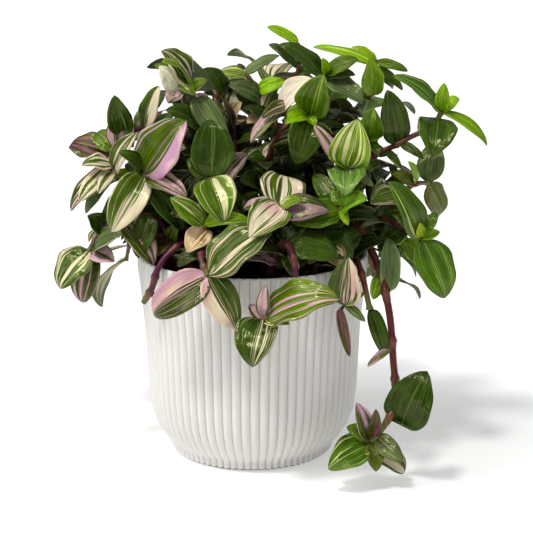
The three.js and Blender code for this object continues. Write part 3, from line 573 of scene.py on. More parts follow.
# angle from +X towards the back, root radius, reach, peak height, tip height, leaves
ruledStems = {
    'stem_back_1': (14, 46, 84, 172, 150, 8), 'stem_back_2': (24, 26, 70, 206, 204, 8),
    'stem_back_3': (38, 46, 100, 160, 92, 9), 'stem_back_4': (64, 44, 92, 180, 158, 8),
    'stem_back_5': (76, 22, 64, 222, 220, 8), 'stem_back_6': (92, 48, 98, 158, 96, 9),
    'stem_back_7': (118, 44, 94, 178, 156, 8), 'stem_back_8': (128, 22, 66, 218, 214, 8),
    'stem_back_9': (146, 46, 100, 162, 104, 9), 'stem_back_10': (162, 28, 72, 196, 188, 8),
    'stem_back_11': (176, 46, 76, 162, 140, 7), 'stem_inner_1': (-62, 18, 36, 172, 166, 6),
    'stem_inner_2': (-122, 20, 38, 170, 164, 6),
}
# the smallest leaves, which only the render has
smallLeaves = {
    'stem_left_top': ((-43, 228, 6, -58, 238, -4, 6, 'G'),),
    'stem_left_mid': ((-61, 199, 14, -46, 208, 5, 7, 'U'),),
    'stem_broken': ((-62, 97, 48, -54, 90, 2, 5, 'K'),),
    'stem_front_middle': ((5, 81, 82, -2, 90, 5, 7, 'P'),),
    'stem_rim_right': ((42, 125, 47, 34, 116, 8, 7, 'U'),),
    'stem_right_striped': ((57, 90, 62, 69.5, 79, 4, 5, 'U'), (53, 88, 62, 60, 56, 2, 6, 'K')),
    'stem_trailing': ((85.5, 62, 60, 71, 50, 2, 5, 'P'),),
    'stem_right_cluster': ((102, 132, 30, 102, 141, 6, 6, 'B'), (103, 132, 30, 114, 136, 6, 6, 'B')),
    'stem_right_behind': ((80, 111, 9, 77, 131, 0, 6, 'U'),),
    'stem_right_mid': ((99, 166, 7, 94.5, 179, 3, 7, 'B'), (90, 161, 13, 82, 178, -8, 6, 'D')),
    'stem_middle_right': ((56, 176, 50, 46, 182, 6, 6, 'B'), (59, 175, 50, 73, 164, 6, 6, 'U')),
    'stem_front_right': ((54, 149, 60, 58, 140, 8, 5, 'B'),),
    'stem_centre_top': ((33, 208, 30, 30, 215, 4, 6, 'B'), (34, 206, 31, 38, 201, 9, 6, 'B')),
    'stem_top': ((44, 232, 5, 42, 241, 3, 6, 'B'),),
    'stem_top_behind': ((27, 250, -15, 9, 260, -2, 7, 'B'), (28, 238, -16, 30, 248, 4, 6, 'Y'),
        (27, 232, -16, 39, 234, -6, 7, 'G')),
    'stem_top_right': ((73.5, 239.5, 0, 59, 248, 2, 6, 'B'), (74, 239, 0, 92.5, 233.5, 2, 6, 'G'),
        (73, 234, 0, 84.5, 223, 6, 7, 'G'), (73, 236, 0, 90, 222, -6, 6, 'G'),
        (59, 209, -4, 50, 217, 3, 7, 'D')),
    'stem_right_far': ((89, 190, 6, 103, 181, 8, 6, 'D'), (80, 186, 5, 90, 174.5, 6, 5, 'D')),
    'stem_right_inner': ((70, 191, 20, 76, 183, 8, 7, 'D'), (62, 170, 20, 77, 179, 4, 7, 'D')),
    'stem_left_inner': ((-11, 201, 2, -2, 206, 6, 6, 'T'), (-12, 200, 3, -17, 217, 12, 5, 'K'),
        (-10, 190, 3, 4, 195, 12, 7, 'D')),
    'stem_cream': ((14, 199, 14, 4, 192, 8, 7, 'D'),),
}


def mulberry(seed):  # the same draws as in the CAD source
    state = seed
    mask = 0xffffffff

    def draw():
        nonlocal state
        state = (state + 0x6d2b79f5) & mask
        mixed = (state ^ (state >> 15)) * (state | 1) & mask
        mixed ^= (mixed + ((mixed ^ (mixed >> 7)) * (mixed | 61) & mask)) & mask
        return (mixed ^ (mixed >> 14)) / 4294967296
    return draw


def seen(across, up, out):
    nearer = out / sight['distance']
    return np.array([across + (sight['middle'] - across) * nearer, -out,
                     up + (sight['height'] - up) * nearer])


class Course:  # a centripetal curve through points, read by its length
    def __init__(self, points):
        self.points = np.array([2 * points[0] - points[1], *points, 2 * points[-1] - points[-2]])
        self.spans = len(points) - 1
        self.shares = np.linspace(0, 1, growth['courseSteps'] + 1)
        self.lengths = lengthsAlong(self.at(self.shares))
        self.length = self.lengths[-1]

    def at(self, t):
        t = np.atleast_1d(t) * self.spans
        span = np.minimum(np.floor(t).astype(int), self.spans - 1)
        w = (t - span)[:, None]
        p0, p1, p2, p3 = (self.points[span + step] for step in range(4))
        pairs = ((p0, p1), (p1, p2), (p2, p3))
        d0, d1, d2 = (np.sqrt(np.linalg.norm(b - a, axis=1))[:, None] for a, b in pairs)
        leave = ((p1 - p0) / d0 - (p2 - p0) / (d0 + d1) + (p2 - p1) / d1) * d1
        arrive = ((p2 - p1) / d1 - (p3 - p1) / (d1 + d2) + (p3 - p2) / d2) * d1
        cubic = 2 * p1 - 2 * p2 + leave + arrive
        square = -3 * p1 + 3 * p2 - 2 * leave - arrive
        return ((cubic * w + square) * w + leave) * w + p1

    def share(self, u):
        return np.interp(np.asarray(u) * self.length, self.lengths, self.shares)

    def point(self, u):
        return self.at(self.share(u))

    def line(self, steps):
        return self.point(np.arange(steps + 1) / steps)

    def along(self, u):
        t = float(self.share(u))
        near = growth['nearby']
        ends = self.at(np.array([max(t - near, 0), min(t + near, 1)]))
        return unit(ends[1] - ends[0])


def lengthsAlong(points):
    return np.concatenate([[0], np.cumsum(np.linalg.norm(np.diff(points, axis=0), axis=1))])


def profileRadius(profile, heights):
    return np.interp(heights, [height for radius, height in profile], [radius for radius, height in profile])


leafDraw = mulberry(growth['leafSeed'])


def newLeaf(base, tip, width, look, facing, draw=leafDraw):
    return {'base': base, 'tip': tip, 'width': width, 'look': look, 'facing': unit(np.array(facing)),
            'roll': (draw() - 0.5) * growth['rollRange'], 'bend': within(growth['bend'], draw()),
            'fold': within(growth['fold'], draw())}


def seenLeaf(row, draw=leafDraw):
    x0, z0, out, x1, z1, lean, width, look = row
    leaf = newLeaf(seen(x0, z0, out), seen(x1, z1, out + lean), width, look, sight['side'], draw)
    leaf['tries'] = [seen(x1, z1, out + lean + offset) for offset in growth['leanTries']]
    leaf['kept'] = True
    return leaf


def courseFrom(foot, places):
    start = np.array([foot[0], foot[1], growth['soilTop'] + growth['firstLift']])
    return Course([start, *places])


def readStem(name, root, places, radius, rows):
    foot = np.array([root[0], -root[1], 0.0])
    return {'name': name, 'foot': foot, 'course': courseFrom(foot, [seen(*place) for place in places]),
            'radius': radius, 'leaves': [seenLeaf(row) for row in rows]}


def ruleStem(name, angle, rootRadius, reach, peak, tipHeight, count):
    turn = math.radians(angle)
    outward = np.array([math.cos(turn), math.sin(turn), 0])
    sideways = np.array([-math.sin(turn), math.cos(turn), 0])
    soilTop = growth['soilTop']
    heights = (soilTop + (peak - soilTop) * growth['firstRise'], peak, (peak + tipHeight) / 2, tipHeight)
    places = []
    for share, height in zip(growth['places'], heights):
        spot = outward * (rootRadius + (reach - rootRadius) * share)
        spot = spot + sideways * (leafDraw() - 0.5) * growth['sway']
        places.append(np.array([spot[0], spot[1], height]))
    foot = outward * rootRadius
    course = courseFrom(foot, places)
    leaves = []
    first = growth['firstLeaf']
    flat, steep = growth['ruledFacing']
    for index in range(count):
        share = first + (1 - first) * index / (count - 1)
        base = course.point(share)[0]
        hand = 1 if index % 2 else -1
        length = within(growth['leafLength'], leafDraw())
        spread = 0 if index == count - 1 else within(growth['spread'], leafDraw())
        way = course.along(share) * growth['onward'] + sideways * hand * spread + outward * growth['outward']
        way = unit(way + upward * (growth['rise'] - 2 * growth['rise'] * leafDraw()))
        width = length * growth['slimness'] * within(growth['fullness'], leafDraw())
        look = growth['ruledLooks'][int(leafDraw() * len(growth['ruledLooks']))]
        leaf = newLeaf(base, base + way * length, width, look, outward * flat + upward * steep)
        leaf['tries'] = []
        for yaw, pitch in growth['turnTries']:
            swung = turned(way, upward, math.radians(yaw))
            level = unit(np.array([-swung[1], swung[0], 0]))
            leaf['tries'].append(base + turned(swung, level, math.radians(pitch)) * length)
        leaf['kept'] = False
        leaves.append(leaf)
    return {'name': name, 'foot': foot, 'course': course, 'radius': growth['ruledRadius'], 'leaves': leaves}


def leafShape(u):  # 1 where the blade is widest
    rise, fall = growth['rootPower'], growth['tipPower']
    widest = rise / (rise + fall)
    return u ** rise * (1 - u) ** fall / (widest ** rise * (1 - widest) ** fall)


def leafFrame(leaf):
    chord = leaf['tip'] - leaf['base']
    length = np.linalg.norm(chord)
    along = chord / length
    face = turned(unit(leaf['facing'] - along * np.dot(leaf['facing'], along)), along, leaf['roll'])
    return length, along, face, np.cross(along, face)


def leafPoints(leaf, u, v):
    length, along, face, side = leafFrame(leaf)
    half = leaf['bend'] / 2
    scale = length / (2 * math.sin(half))
    run = (math.sin(half) - np.sin(half - leaf['bend'] * u)) * scale
    rise = (np.cos(half - leaf['bend'] * u) - math.cos(half)) * scale
    root = np.where(u < growth['rootShare'], growth['leastRoot'], 0)
    width = np.maximum(leaf['width'] * 0.5 * leafShape(u), root)
    lift = rise + np.abs(v) * width * leaf['fold']
    return leaf['base'] + run[:, None] * along + lift[:, None] * face + (v * width)[:, None] * side


def leafSamples(leaf, step=growth['sampleStep']):
    rows = math.ceil(np.linalg.norm(leaf['tip'] - leaf['base']) / step)
    columns = max(1, math.ceil(leaf['width'] / 2 / step))
    u, v = np.meshgrid(np.arange(1, rows + 1) / rows, np.arange(-columns, columns + 1) / columns,
                       indexing='ij')
    return leafPoints(leaf, u.ravel(), v.ravel()), (u < growth['nearRoot']).ravel()


def freeOfPot(points):  # clear of the pot's wall, the soil and the surface
    margin = growth['potMargin']
    height = points[:, 2]
    radius = np.hypot(points[:, 0], points[:, 1])
    soilMost = growth['soilTop'] + growth['soilMargin'] + margin
    outside = profileRadius(growth['outsideProfile'], height) + margin
    inside = pot['rimRadius'] - pot['wall'] - margin
    free = (radius > outside) | ((height > soilMost) & (radius < inside))
    free &= ~((height < soilMost) & (radius < pot['rimRadius'] - growth['soilEdge']))
    free |= height > pot['height'] + margin
    return bool(np.all(free & (height >= growth['standClearance'])))


taken = {'points': np.zeros((0, 3)), 'owners': np.zeros(0, int), 'nearRoot': np.zeros(0, bool)}


def take(points, nearRoot, owner):
    taken['points'] = np.vstack([taken['points'], points])
    taken['nearRoot'] = np.concatenate([taken['nearRoot'], nearRoot])
    taken['owners'] = np.concatenate([taken['owners'], np.full(len(points), owner)])


def isClear(points, nearRoot, owner, ownToo, least=growth['leafClearance']):
    if not freeOfPot(points):
        return False
    low, high = points.min(0) - least, points.max(0) + least
    close = np.all((taken['points'] >= low) & (taken['points'] <= high), axis=1)
    if not ownToo:
        close &= taken['owners'] != owner
    others = taken['points'][close]
    own = (taken['owners'][close] == owner)[None, :]
    rooted = own & (nearRoot[:, None] | taken['nearRoot'][close][None, :])
    apart = ((points[:, None, :] - others[None, :, :]) ** 2).sum(2)
    limit = np.where(own, min(growth['ownClearance'], least), least) ** 2
    return bool(np.all(rooted | (apart > limit)))


def settle(leaves, owner):
    settled = []
    for leaf in leaves:
        fit = None
        for ownToo in ((True, False) if leaf['kept'] else (True,)):
            for tip in leaf['tries']:
                if fit is None and isClear(*leafSamples({**leaf, 'tip': tip}), owner, ownToo):
                    fit = tip
        if fit is None and not leaf['kept']:
            continue
        if fit is not None:
            leaf['tip'] = fit
        take(*leafSamples(leaf), owner)
        settled.append(leaf)
    return settled


# Leaves of the inside, along the bare lengths of the stems, wherever there is room
fillers = {
    'from': 9, 'every': 7.5, 'tipLeft': 3, 'lengths': (30, 24, 19, 15), 'slimness': 0.56, 'turns': 8,
    'clearance': 1.9, 'step': 2.4, 'front': 'DDGDUPSDG', 'right': 'DDGDGUDBD', 'rightFrom': 15, 'seed': 77,
    'start': (0.3, 0.5, 0.81), 'onward': 0.45, 'rise': (-0.1, 0.35), 'up': 0.9, 'outwardReach': 90,
    'lean': 0.2, 'roll': 0.3, 'rollTurns': 9, 'bend': (0.5, 0.5), 'fold': 0.25,
    'middle': (5, 4, 148), 'reach': (92, 82, 82), 'bareFrom': 0.3,
    'bare': ('stem_broken', 'stem_trailing', 'stem_right_second'),
}


def insideCrown(point):
    share = (point - fillers['middle']) / fillers['reach']
    return share @ share < 1


def fillerLeaf(base, way, length, look, radial, start, rise):
    facing = upward * fillers['up'] + np.array([base[0], base[1], 0]) / fillers['outwardReach']
    return {'base': base, 'tip': base + way * length, 'width': length * fillers['slimness'], 'look': look,
            'facing': unit(facing + radial * fillers['lean']), 'fold': fillers['fold'],
            'roll': fillers['roll'] * math.sin(fillers['rollTurns'] * start),
            'bend': within(fillers['bend'], rise), 'inside': True}


def roomFor(base, along, look, start, rise, owner):  # the longest leaf that has room at this place
    first = unit(np.cross(along, np.array(fillers['start'])))
    for length in fillers['lengths']:
        for turn in range(fillers['turns']):
            radial = turned(first, along, start + turn * math.tau / fillers['turns'])
            way = unit(radial + along * fillers['onward'] + upward * within(fillers['rise'], rise))
            leaf = fillerLeaf(base, way, length, look, radial, start, rise)
            samples = leafSamples(leaf, fillers['step'])
            if insideCrown(leaf['tip']) and isClear(*samples, owner, True, fillers['clearance']):
                return leaf
    return None


def fillStem(stem, owner, draw):
    course = stem['course']
    added = []
    for distance in np.arange(fillers['from'], course.length - fillers['tipLeft'], fillers['every']):
        share = distance / course.length
        base = course.point(share)[0]
        if not insideCrown(base) or stem['name'] in fillers['bare'] and share > fillers['bareFrom']:
            continue
        start = draw() * math.tau
        looks = fillers['right'] if base[0] > fillers['rightFrom'] else fillers['front']
        look = looks[int(draw() * len(looks))]
        leaf = roomFor(base, course.along(share), look, start, draw(), owner)
        if leaf:
            take(*leafSamples(leaf), owner)
            added.append(leaf)
    return added


def growStems():
    stems = [readStem(name, *rows) for name, rows in seenStems.items()]
    stems += [ruleStem(name, *rows) for name, rows in ruledStems.items()]
    for owner, stem in enumerate(stems):
        spots = stem['course'].line(round(stem['course'].length / growth['stemSample']))
        take(spots, np.zeros(len(spots), bool), owner)
    for owner, stem in enumerate(stems):
        stem['leaves'] = settle(stem['leaves'], owner)
    drawSmall = mulberry(growth['leafSeed'] + 1)
    for owner, stem in enumerate(stems):
        rows = smallLeaves.get(stem['name'], ())
        stem['leaves'] += settle([seenLeaf(row, drawSmall) for row in rows], owner)
    drawFiller = mulberry(fillers['seed'])
    for owner, stem in enumerate(stems):
        added = fillStem(stem, owner, drawFiller)
        stem['leaves'] += added
        print(stem['name'], len(stem['leaves']), 'leaves,', len(added), 'of them inside')
    return stems


# Blades
blade = {
    'thickness': 0.4, 'insideShade': 0.42, 'rootWidth': 0.9, 'rootRise': 0.5, 'cup': 1.35,
    'roundness': 0.76, 'waves': 0.128, 'waveTurns': (8, 6), 'waveLag': 1.3,
    'tipCurl': 0.14, 'curlFrom': 0.8, 'wide': 12, 'grids': {'wide': (16, 14), 'slim': (11, 4)},
    'closeEnds': 0.45, 'pleats': 3.5, 'pleatDepth': 0.24, 'pleatPower': 0.7,
    'toneRange': 0.5, 'bandRange': 0.12, 'flushRange': 0.15, 'channelRange': 0.4,
    'countRange': (0.8, 0.4), 'fullWidth': 18, 'countLimits': (0.6, 1.2), 'middleRange': 0.3,
}
# green, band and flush colours, share of bands, stripes across, half-and-half, pale middle, pinkness,
# purple underside; the numbered looks are single leaves seen in front
leafLooks = {
    'G': ('436006', 'a9b850', 'd3a3a4', 0.00, 3.2, 0.0, 0.0, 0.0, 0.1),
    'D': ('263c04', '8fa048', 'c193a0', -0.06, 2.8, 0.0, 0.0, 0.0, 0.3),
    'B': ('749a06', 'b9cc40', 'd9c7a0', 0.02, 3.0, 0.0, 0.0, 0.0, 0.0),
    'Y': ('587a0a', 'd2cf92', 'dcc0a4', 0.25, 4.6, 0.0, 0.1, 0.3, 0.1),
    'S': ('344a04', 'd9cbaa', 'd9b6aa', 0.38, 3.7, 0.0, 0.0, 0.3, 0.3),
    'C': ('405606', 'dfd1b2', 'dcb5aa', 0.48, 3.3, 0.0, 0.0, 0.4, 0.3),
    'H': ('344a04', 'dfd1b0', 'dcb2a4', 0.44, 3.6, 0.7, 0.0, 0.3, 0.3),
    'P': ('3e4e08', 'd6b2aa', 'c294a6', 0.48, 3.4, 0.0, 0.1, 0.75, 0.7),
    'K': ('343408', 'a27884', '7a4258', 0.38, 3.4, 0.0, 0.0, 1.0, 1.0),
    'R': ('405608', 'd9c8a2', 'cfa0a0', 0.44, 4.4, 0.2, 0.0, 0.5, 0.5),
    'Q': ('364a04', 'c9a4a2', 'b88aa2', 0.42, 2.8, 0.9, 0.0, 0.85, 0.7),
    'U': ('4e5e34', '8f9a68', '8f7a84', 0.10, 4.2, 0.0, 0.0, 0.3, 0.3),
    'O': ('4a540a', '8c9646', '8f7656', 0.06, 4.0, 0.0, 0.0, 0.2, 0.4),
    'T': ('8a7440', 'd2b68c', 'c49a7c', 0.60, 3.0, 0.0, 0.0, 0.4, 0.4),
    'W': ('7c9440', 'e8dcc2', 'e3c6b4', 0.68, 3.6, 0.0, 0.0, 0.35, 0.1),
    '1': ('2e4206', 'd8c8a8', 'd3aca0', 0.24, 4.6, 0.0, 0.15, 0.35, 0.3),
    '2': ('2f3c04', 'd6b8a0', 'c493a0', 0.30, 4.4, 1.0, 0.0, 0.75, 0.5),
    '3': ('4c6a08', 'ccc97e', 'd0a0a8', 0.36, 4.2, 0.0, 0.75, 0.8, 0.4),
    '4': ('2e4404', 'd9cbaa', 'd6a8a4', 0.30, 3.8, 0.8, 0.0, 0.6, 0.4),
    '5': ('4e6628', '9db07c', 'b9a090', 0.12, 3.2, 0.0, -0.3, 0.2, 0.2),
    '6': ('406006', 'cfcb94', 'd6b4a8', 0.30, 4.0, -0.4, 0.2, 0.2, 0.2),
    'M': ('547808', 'b0bf58', 'd3a3a4', 0.02, 3.0, 0.0, 0.0, 0.0, 0.0),
    'L': ('3c5c08', 'bccb74', 'd6c4a0', 0.13, 5.0, 0.0, 0.0, 0.1, 0.1),
    '9': ('3a5004', 'dccfae', 'dcb4a8', 0.47, 3.4, -0.6, 0.0, 0.45, 0.3),
    '0': ('466206', 'e0d2b4', 'dcb0ac', 0.55, 4.6, 0.0, 0.2, 0.55, 0.4),
    '8': ('3a5204', 'ccaaa4', 'bf92ac', 0.45, 3.8, 0.8, 0.0, 0.85, 0.7),
    '7': ('324404', 'd8c4a4', 'c890a8', 0.40, 4.6, 0.0, 0.6, 0.9, 0.5),
}
colourFacts = ('tone', 'band', 'flush', 'stripes', 'mood')


def nearestSpot(line, base):
    starts, ends = line[:-1], line[1:]
    span = ends - starts
    share = np.clip(((base - starts) * span).sum(1) / (span ** 2).sum(1), 0, 1)
    spots = starts + span * share[:, None]
    return spots[np.argmin(np.linalg.norm(spots - base, axis=1))]


def bladePoints(leaf, root, grid, draw):
    rows, columns = grid[0] + 1, grid[1] + 1
    even = np.linspace(0, 1, rows)
    u = (1 - blade['closeEnds']) * even + blade['closeEnds'] * (1 - np.cos(np.pi * even)) / 2
    u, v = np.meshgrid(u, np.linspace(-1, 1, columns), indexing='ij')
    face, side = leafFrame(leaf)[2:]
    points = leafPoints(leaf, u.ravel(), v.ravel()).reshape(rows, columns, 3)
    shape = np.clip(leafShape(u), 0, 1)
    half = leaf['width'] * 0.5 * shape
    fuller = leaf['width'] * 0.5 * (shape ** blade['roundness'] - shape)
    cup = (np.abs(v) ** blade['cup'] - np.abs(v)) * half * leaf['fold']
    phase, speed = draw() * math.tau, within(blade['waveTurns'], draw())
    wave = np.sin(u * speed + phase + v * blade['waveLag']) * v ** 2 * half * blade['waves']
    past = np.maximum(u - blade['curlFrom'], 0) / (1 - blade['curlFrom'])
    curl = -past ** 2 * leaf['width'] * blade['tipCurl']
    pleat = np.cos(np.abs(v) * blade['pleats'] * math.tau) * blade['pleatDepth']
    pleat = pleat * np.sin(np.pi * u) ** blade['pleatPower'] * (grid == blade['grids']['wide'])
    points += (v * fuller)[..., None] * side + (cup + wave + curl + pleat)[..., None] * face
    points[0] = root + side * v[0][:, None] * blade['rootWidth']
    points[0] += face * (np.abs(v[0]) * blade['rootRise'])[:, None]
    return points.reshape(-1, 3)


def varied(colour, shift, draw, shade):
    lift = (1 + (draw() - 0.5) * shift) * shade
    near = shift * blade['channelRange']
    return [min(channel * lift * (1 + (draw() - 0.5) * near), 1) for channel in rgb(colour)]


def bladeFacts(leaf, draw):
    green, band, flush, share, count, half, middle, pink, under = leafLooks[leaf['look']]
    hand = 1 if draw() > 0.5 or leaf['look'].isdigit() else -1
    # leaves inside the crown have all their colours darkened: painted shade, where the crown is deep
    shade = blade['insideShade'] if 'inside' in leaf else 1.0
    fewest, most = blade['countLimits']
    facts = {'tone': (*varied(green, blade['toneRange'], draw, shade), under),
             'band': (*varied(band, blade['bandRange'], draw, shade), 1),
             'flush': (*varied(flush, blade['flushRange'], draw, shade), 1)}
    seed, more = draw(), within(blade['countRange'], draw())
    wider = min(max(leaf['width'] / blade['fullWidth'], fewest), most)
    facts['stripes'] = (seed, share, count * more * wider, 1)
    facts['mood'] = (half * hand, pink, middle + (draw() - 0.5) * blade['middleRange'], 1)
    return facts


def templateBlade(grid):
    deselectAll()
    bpy.ops.mesh.primitive_grid_add(x_subdivisions=grid[1], y_subdivisions=grid[0], size=1)
    piece = bpy.context.object
    bakePlace(piece)
    spots = pointsOf(piece)
    order = np.lexsort((spots[:, 0], spots[:, 1]))  # rows along y, columns along x
    return piece, order


def paint(mesh, name, values):
    layer = mesh.attributes.new(name, 'FLOAT_COLOR', 'POINT')
    values = np.broadcast_to(np.array(values, dtype=np.float32), (len(mesh.vertices), 4))
    layer.data.foreach_set('color', values.ravel())


def growBlades(stem, line, templates, draw):
    made = []
    for leaf in stem['leaves']:
        kind = 'wide' if leaf['width'] > blade['wide'] and 'inside' not in leaf else 'slim'
        template, order = templates[kind]
        piece = copyOf(template, stem['name'] + '_blade')
        points = np.empty((len(order), 3))
        root = nearestSpot(line, leaf['base'])
        points[order] = bladePoints(leaf, root, blade['grids'][kind], draw) * mm
        shapeAs(piece, points)
        for name, value in bladeFacts(leaf, draw).items():
            paint(piece.data, name, value)
        made.append(piece)
    return made


# Stems
stemLook = {
    'step': 1.6, 'resolution': 1, 'firstSeed': 500, 'rootStep': 3, 'rootSteps': 4, 'fullness': 1.1,
    'taper': 0.2, 'nodeEvery': 22, 'nodeFrom': 8,
    'nodeApart': 7, 'nodeSwell': 0.4, 'nodeLength': 1.5, 'sheath': 0.16, 'sheathLength': 5,
    'sheathStart': -0.5, 'youngFrom': 0.86, 'youth': 0.6, 'sheathTint': 0.4,
    'purple': '4a1030', 'red': '501812', 'green': '4a4c16', 'tan': '74482c', 'tip': '64802c',
    'streakScale': 400, 'streakRange': 1.2, 'patchScale': 90, 'patchEdge': (0.52, 0.72), 'patch': 0.3,
    'finish': {'Roughness': 0.36, 'Specular IOR Level': 0.36},
}
purpleStems = tuple('stem_' + name for name in (
    'left_top', 'left_mid', 'left_rosette', 'left_low', 'left_rim', 'broken', 'front_left', 'front_middle',
    'front_rim', 'rim_right', 'right_striped', 'front_centre', 'middle_left', 'left_inner'))
stripedStems = purpleStems + tuple('stem_' + name for name in (
    'front_left_low', 'cream', 'back_9', 'back_10', 'back_11', 'inner_2'))


def nodePlaces(stem, points, lengths):  # where along the stem its leaves stand, and between them
    nodes = [lengths[np.argmin(np.linalg.norm(points - leaf['base'], axis=1))] for leaf in stem['leaves']]
    nodes += list(np.arange(growth['holeDepth'] + stemLook['nodeFrom'], lengths[-1], stemLook['nodeEvery']))
    kept = []
    for place in sorted(nodes):
        if not kept or place - kept[-1] > stemLook['nodeApart']:
            kept.append(place)
    return kept


def growStem(stem):
    course = stem['course']
    below = growth['soilTop'] - growth['holeDepth'] + growth['gap']
    heights = (below, (below + growth['soilTop']) / 2)
    foot = np.array([[*stem['foot'][:2], height] for height in heights])
    points = np.vstack([foot, course.line(round(course.length / stemLook['step']))])
    lengths = lengthsAlong(points)
    shares = lengths / lengths[-1]
    radii = stem['radius'] * stemLook['fullness'] * (1 - stemLook['taper'] * shares)
    sheath = np.zeros(len(points))
    for place in nodePlaces(stem, points, lengths):
        past = lengths - place
        radii = radii * (1 + stemLook['nodeSwell'] * np.exp(-(past / stemLook['nodeLength']) ** 2))
        inSheath = (past > stemLook['sheathStart']) & (past < stemLook['sheathLength'])
        radii = radii * (1 + stemLook['sheath'] * inSheath * (0.5 + past / stemLook['sheathLength'] / 2))
        sheath = np.maximum(sheath, inSheath * 1.0)
    piece = tubes(stem['name'] + '_shoot', [points], [radii], stemLook['resolution'])
    spots = pointsOf(piece) / mm
    nearest = np.array([np.argmin(((points - spot) ** 2).sum(1)) for spot in spots])
    main = 'purple' if stem['name'] in purpleStems else 'red'
    youth = np.clip((shares - stemLook['youngFrom']) / (1 - stemLook['youngFrom']), 0, 1) * stemLook['youth']
    colour = rgb(stemLook[main])
    for amount, other in ((youth, 'tip'), (sheath * stemLook['sheathTint'], 'tan')):
        amount = amount[nearest, None]
        colour = np.array(colour) * (1 - amount) + np.array(rgb(stemLook[other])) * amount
    paint(piece.data, 'tone', np.hstack([colour, np.ones((len(colour), 1))]))
    return piece


# A grain is (across, along, offset by leaf); an edge is where a mask starts and ends
leafSkin = {
    'drift': 0.35, 'driftGrain': (0.4, 1.4, 91), 'broad': (0.62, 0.45, 57), 'broadShift': 31,
    'narrow': (2.1, 0.6, 63), 'broadShare': 0.7, 'halfPull': 0.3, 'middlePull': 0.3, 'middleEdge': 0.4,
    'shareReach': 0.36, 'edge': 0.011, 'fine': (3.4, 0.8, 77), 'fineShare': 0.1,
    'fineLines': (0.665, 0.695), 'lineLeast': 0.3, 'lineShare': 1.4,
    'midrib': 0.4, 'midribEdge': (0.015, 0.05), 'midribFade': 0.02,
    'rim': 0.7, 'rimEdge': (0.94, 0.98), 'rimLeast': 0.16, 'outline': 0.7,
    'veins': (24, 1.1, 13), 'veinRange': 1.1, 'paleVeins': (0.6, 0.96), 'patches': (1.6, 2.2, 41),
    'shadeRange': 1.5, 'streaks': (6, 1.2, 29), 'streakRange': 2.2, 'streakMiddle': 1.1,
    'blushPatches': 1.6, 'blushFade': 0.35, 'blushStart': 0.05, 'blushEdge': (0.25, 0.75),
    'roughness': 0.16, 'roughRange': 0.14,
    'topFinish': {'Specular IOR Level': 0.4, 'Specular Tint': (1.0, 1.0, 0.5, 1.0)},
    'underFinish': {'Roughness': 0.5, 'Specular IOR Level': 0.2},
    'dull': '7d8f5e', 'dullShare': 0.4, 'purple': '6f4460', 'purpleShare': 0.6,
    'bump': 0.6, 'bumpDepth': 0.0004, 'midribBump': (0.0, 0.09), 'midribHeight': 0.7,
    'quilt': (2.2, 5, 17), 'quiltHeight': 5.0,
}


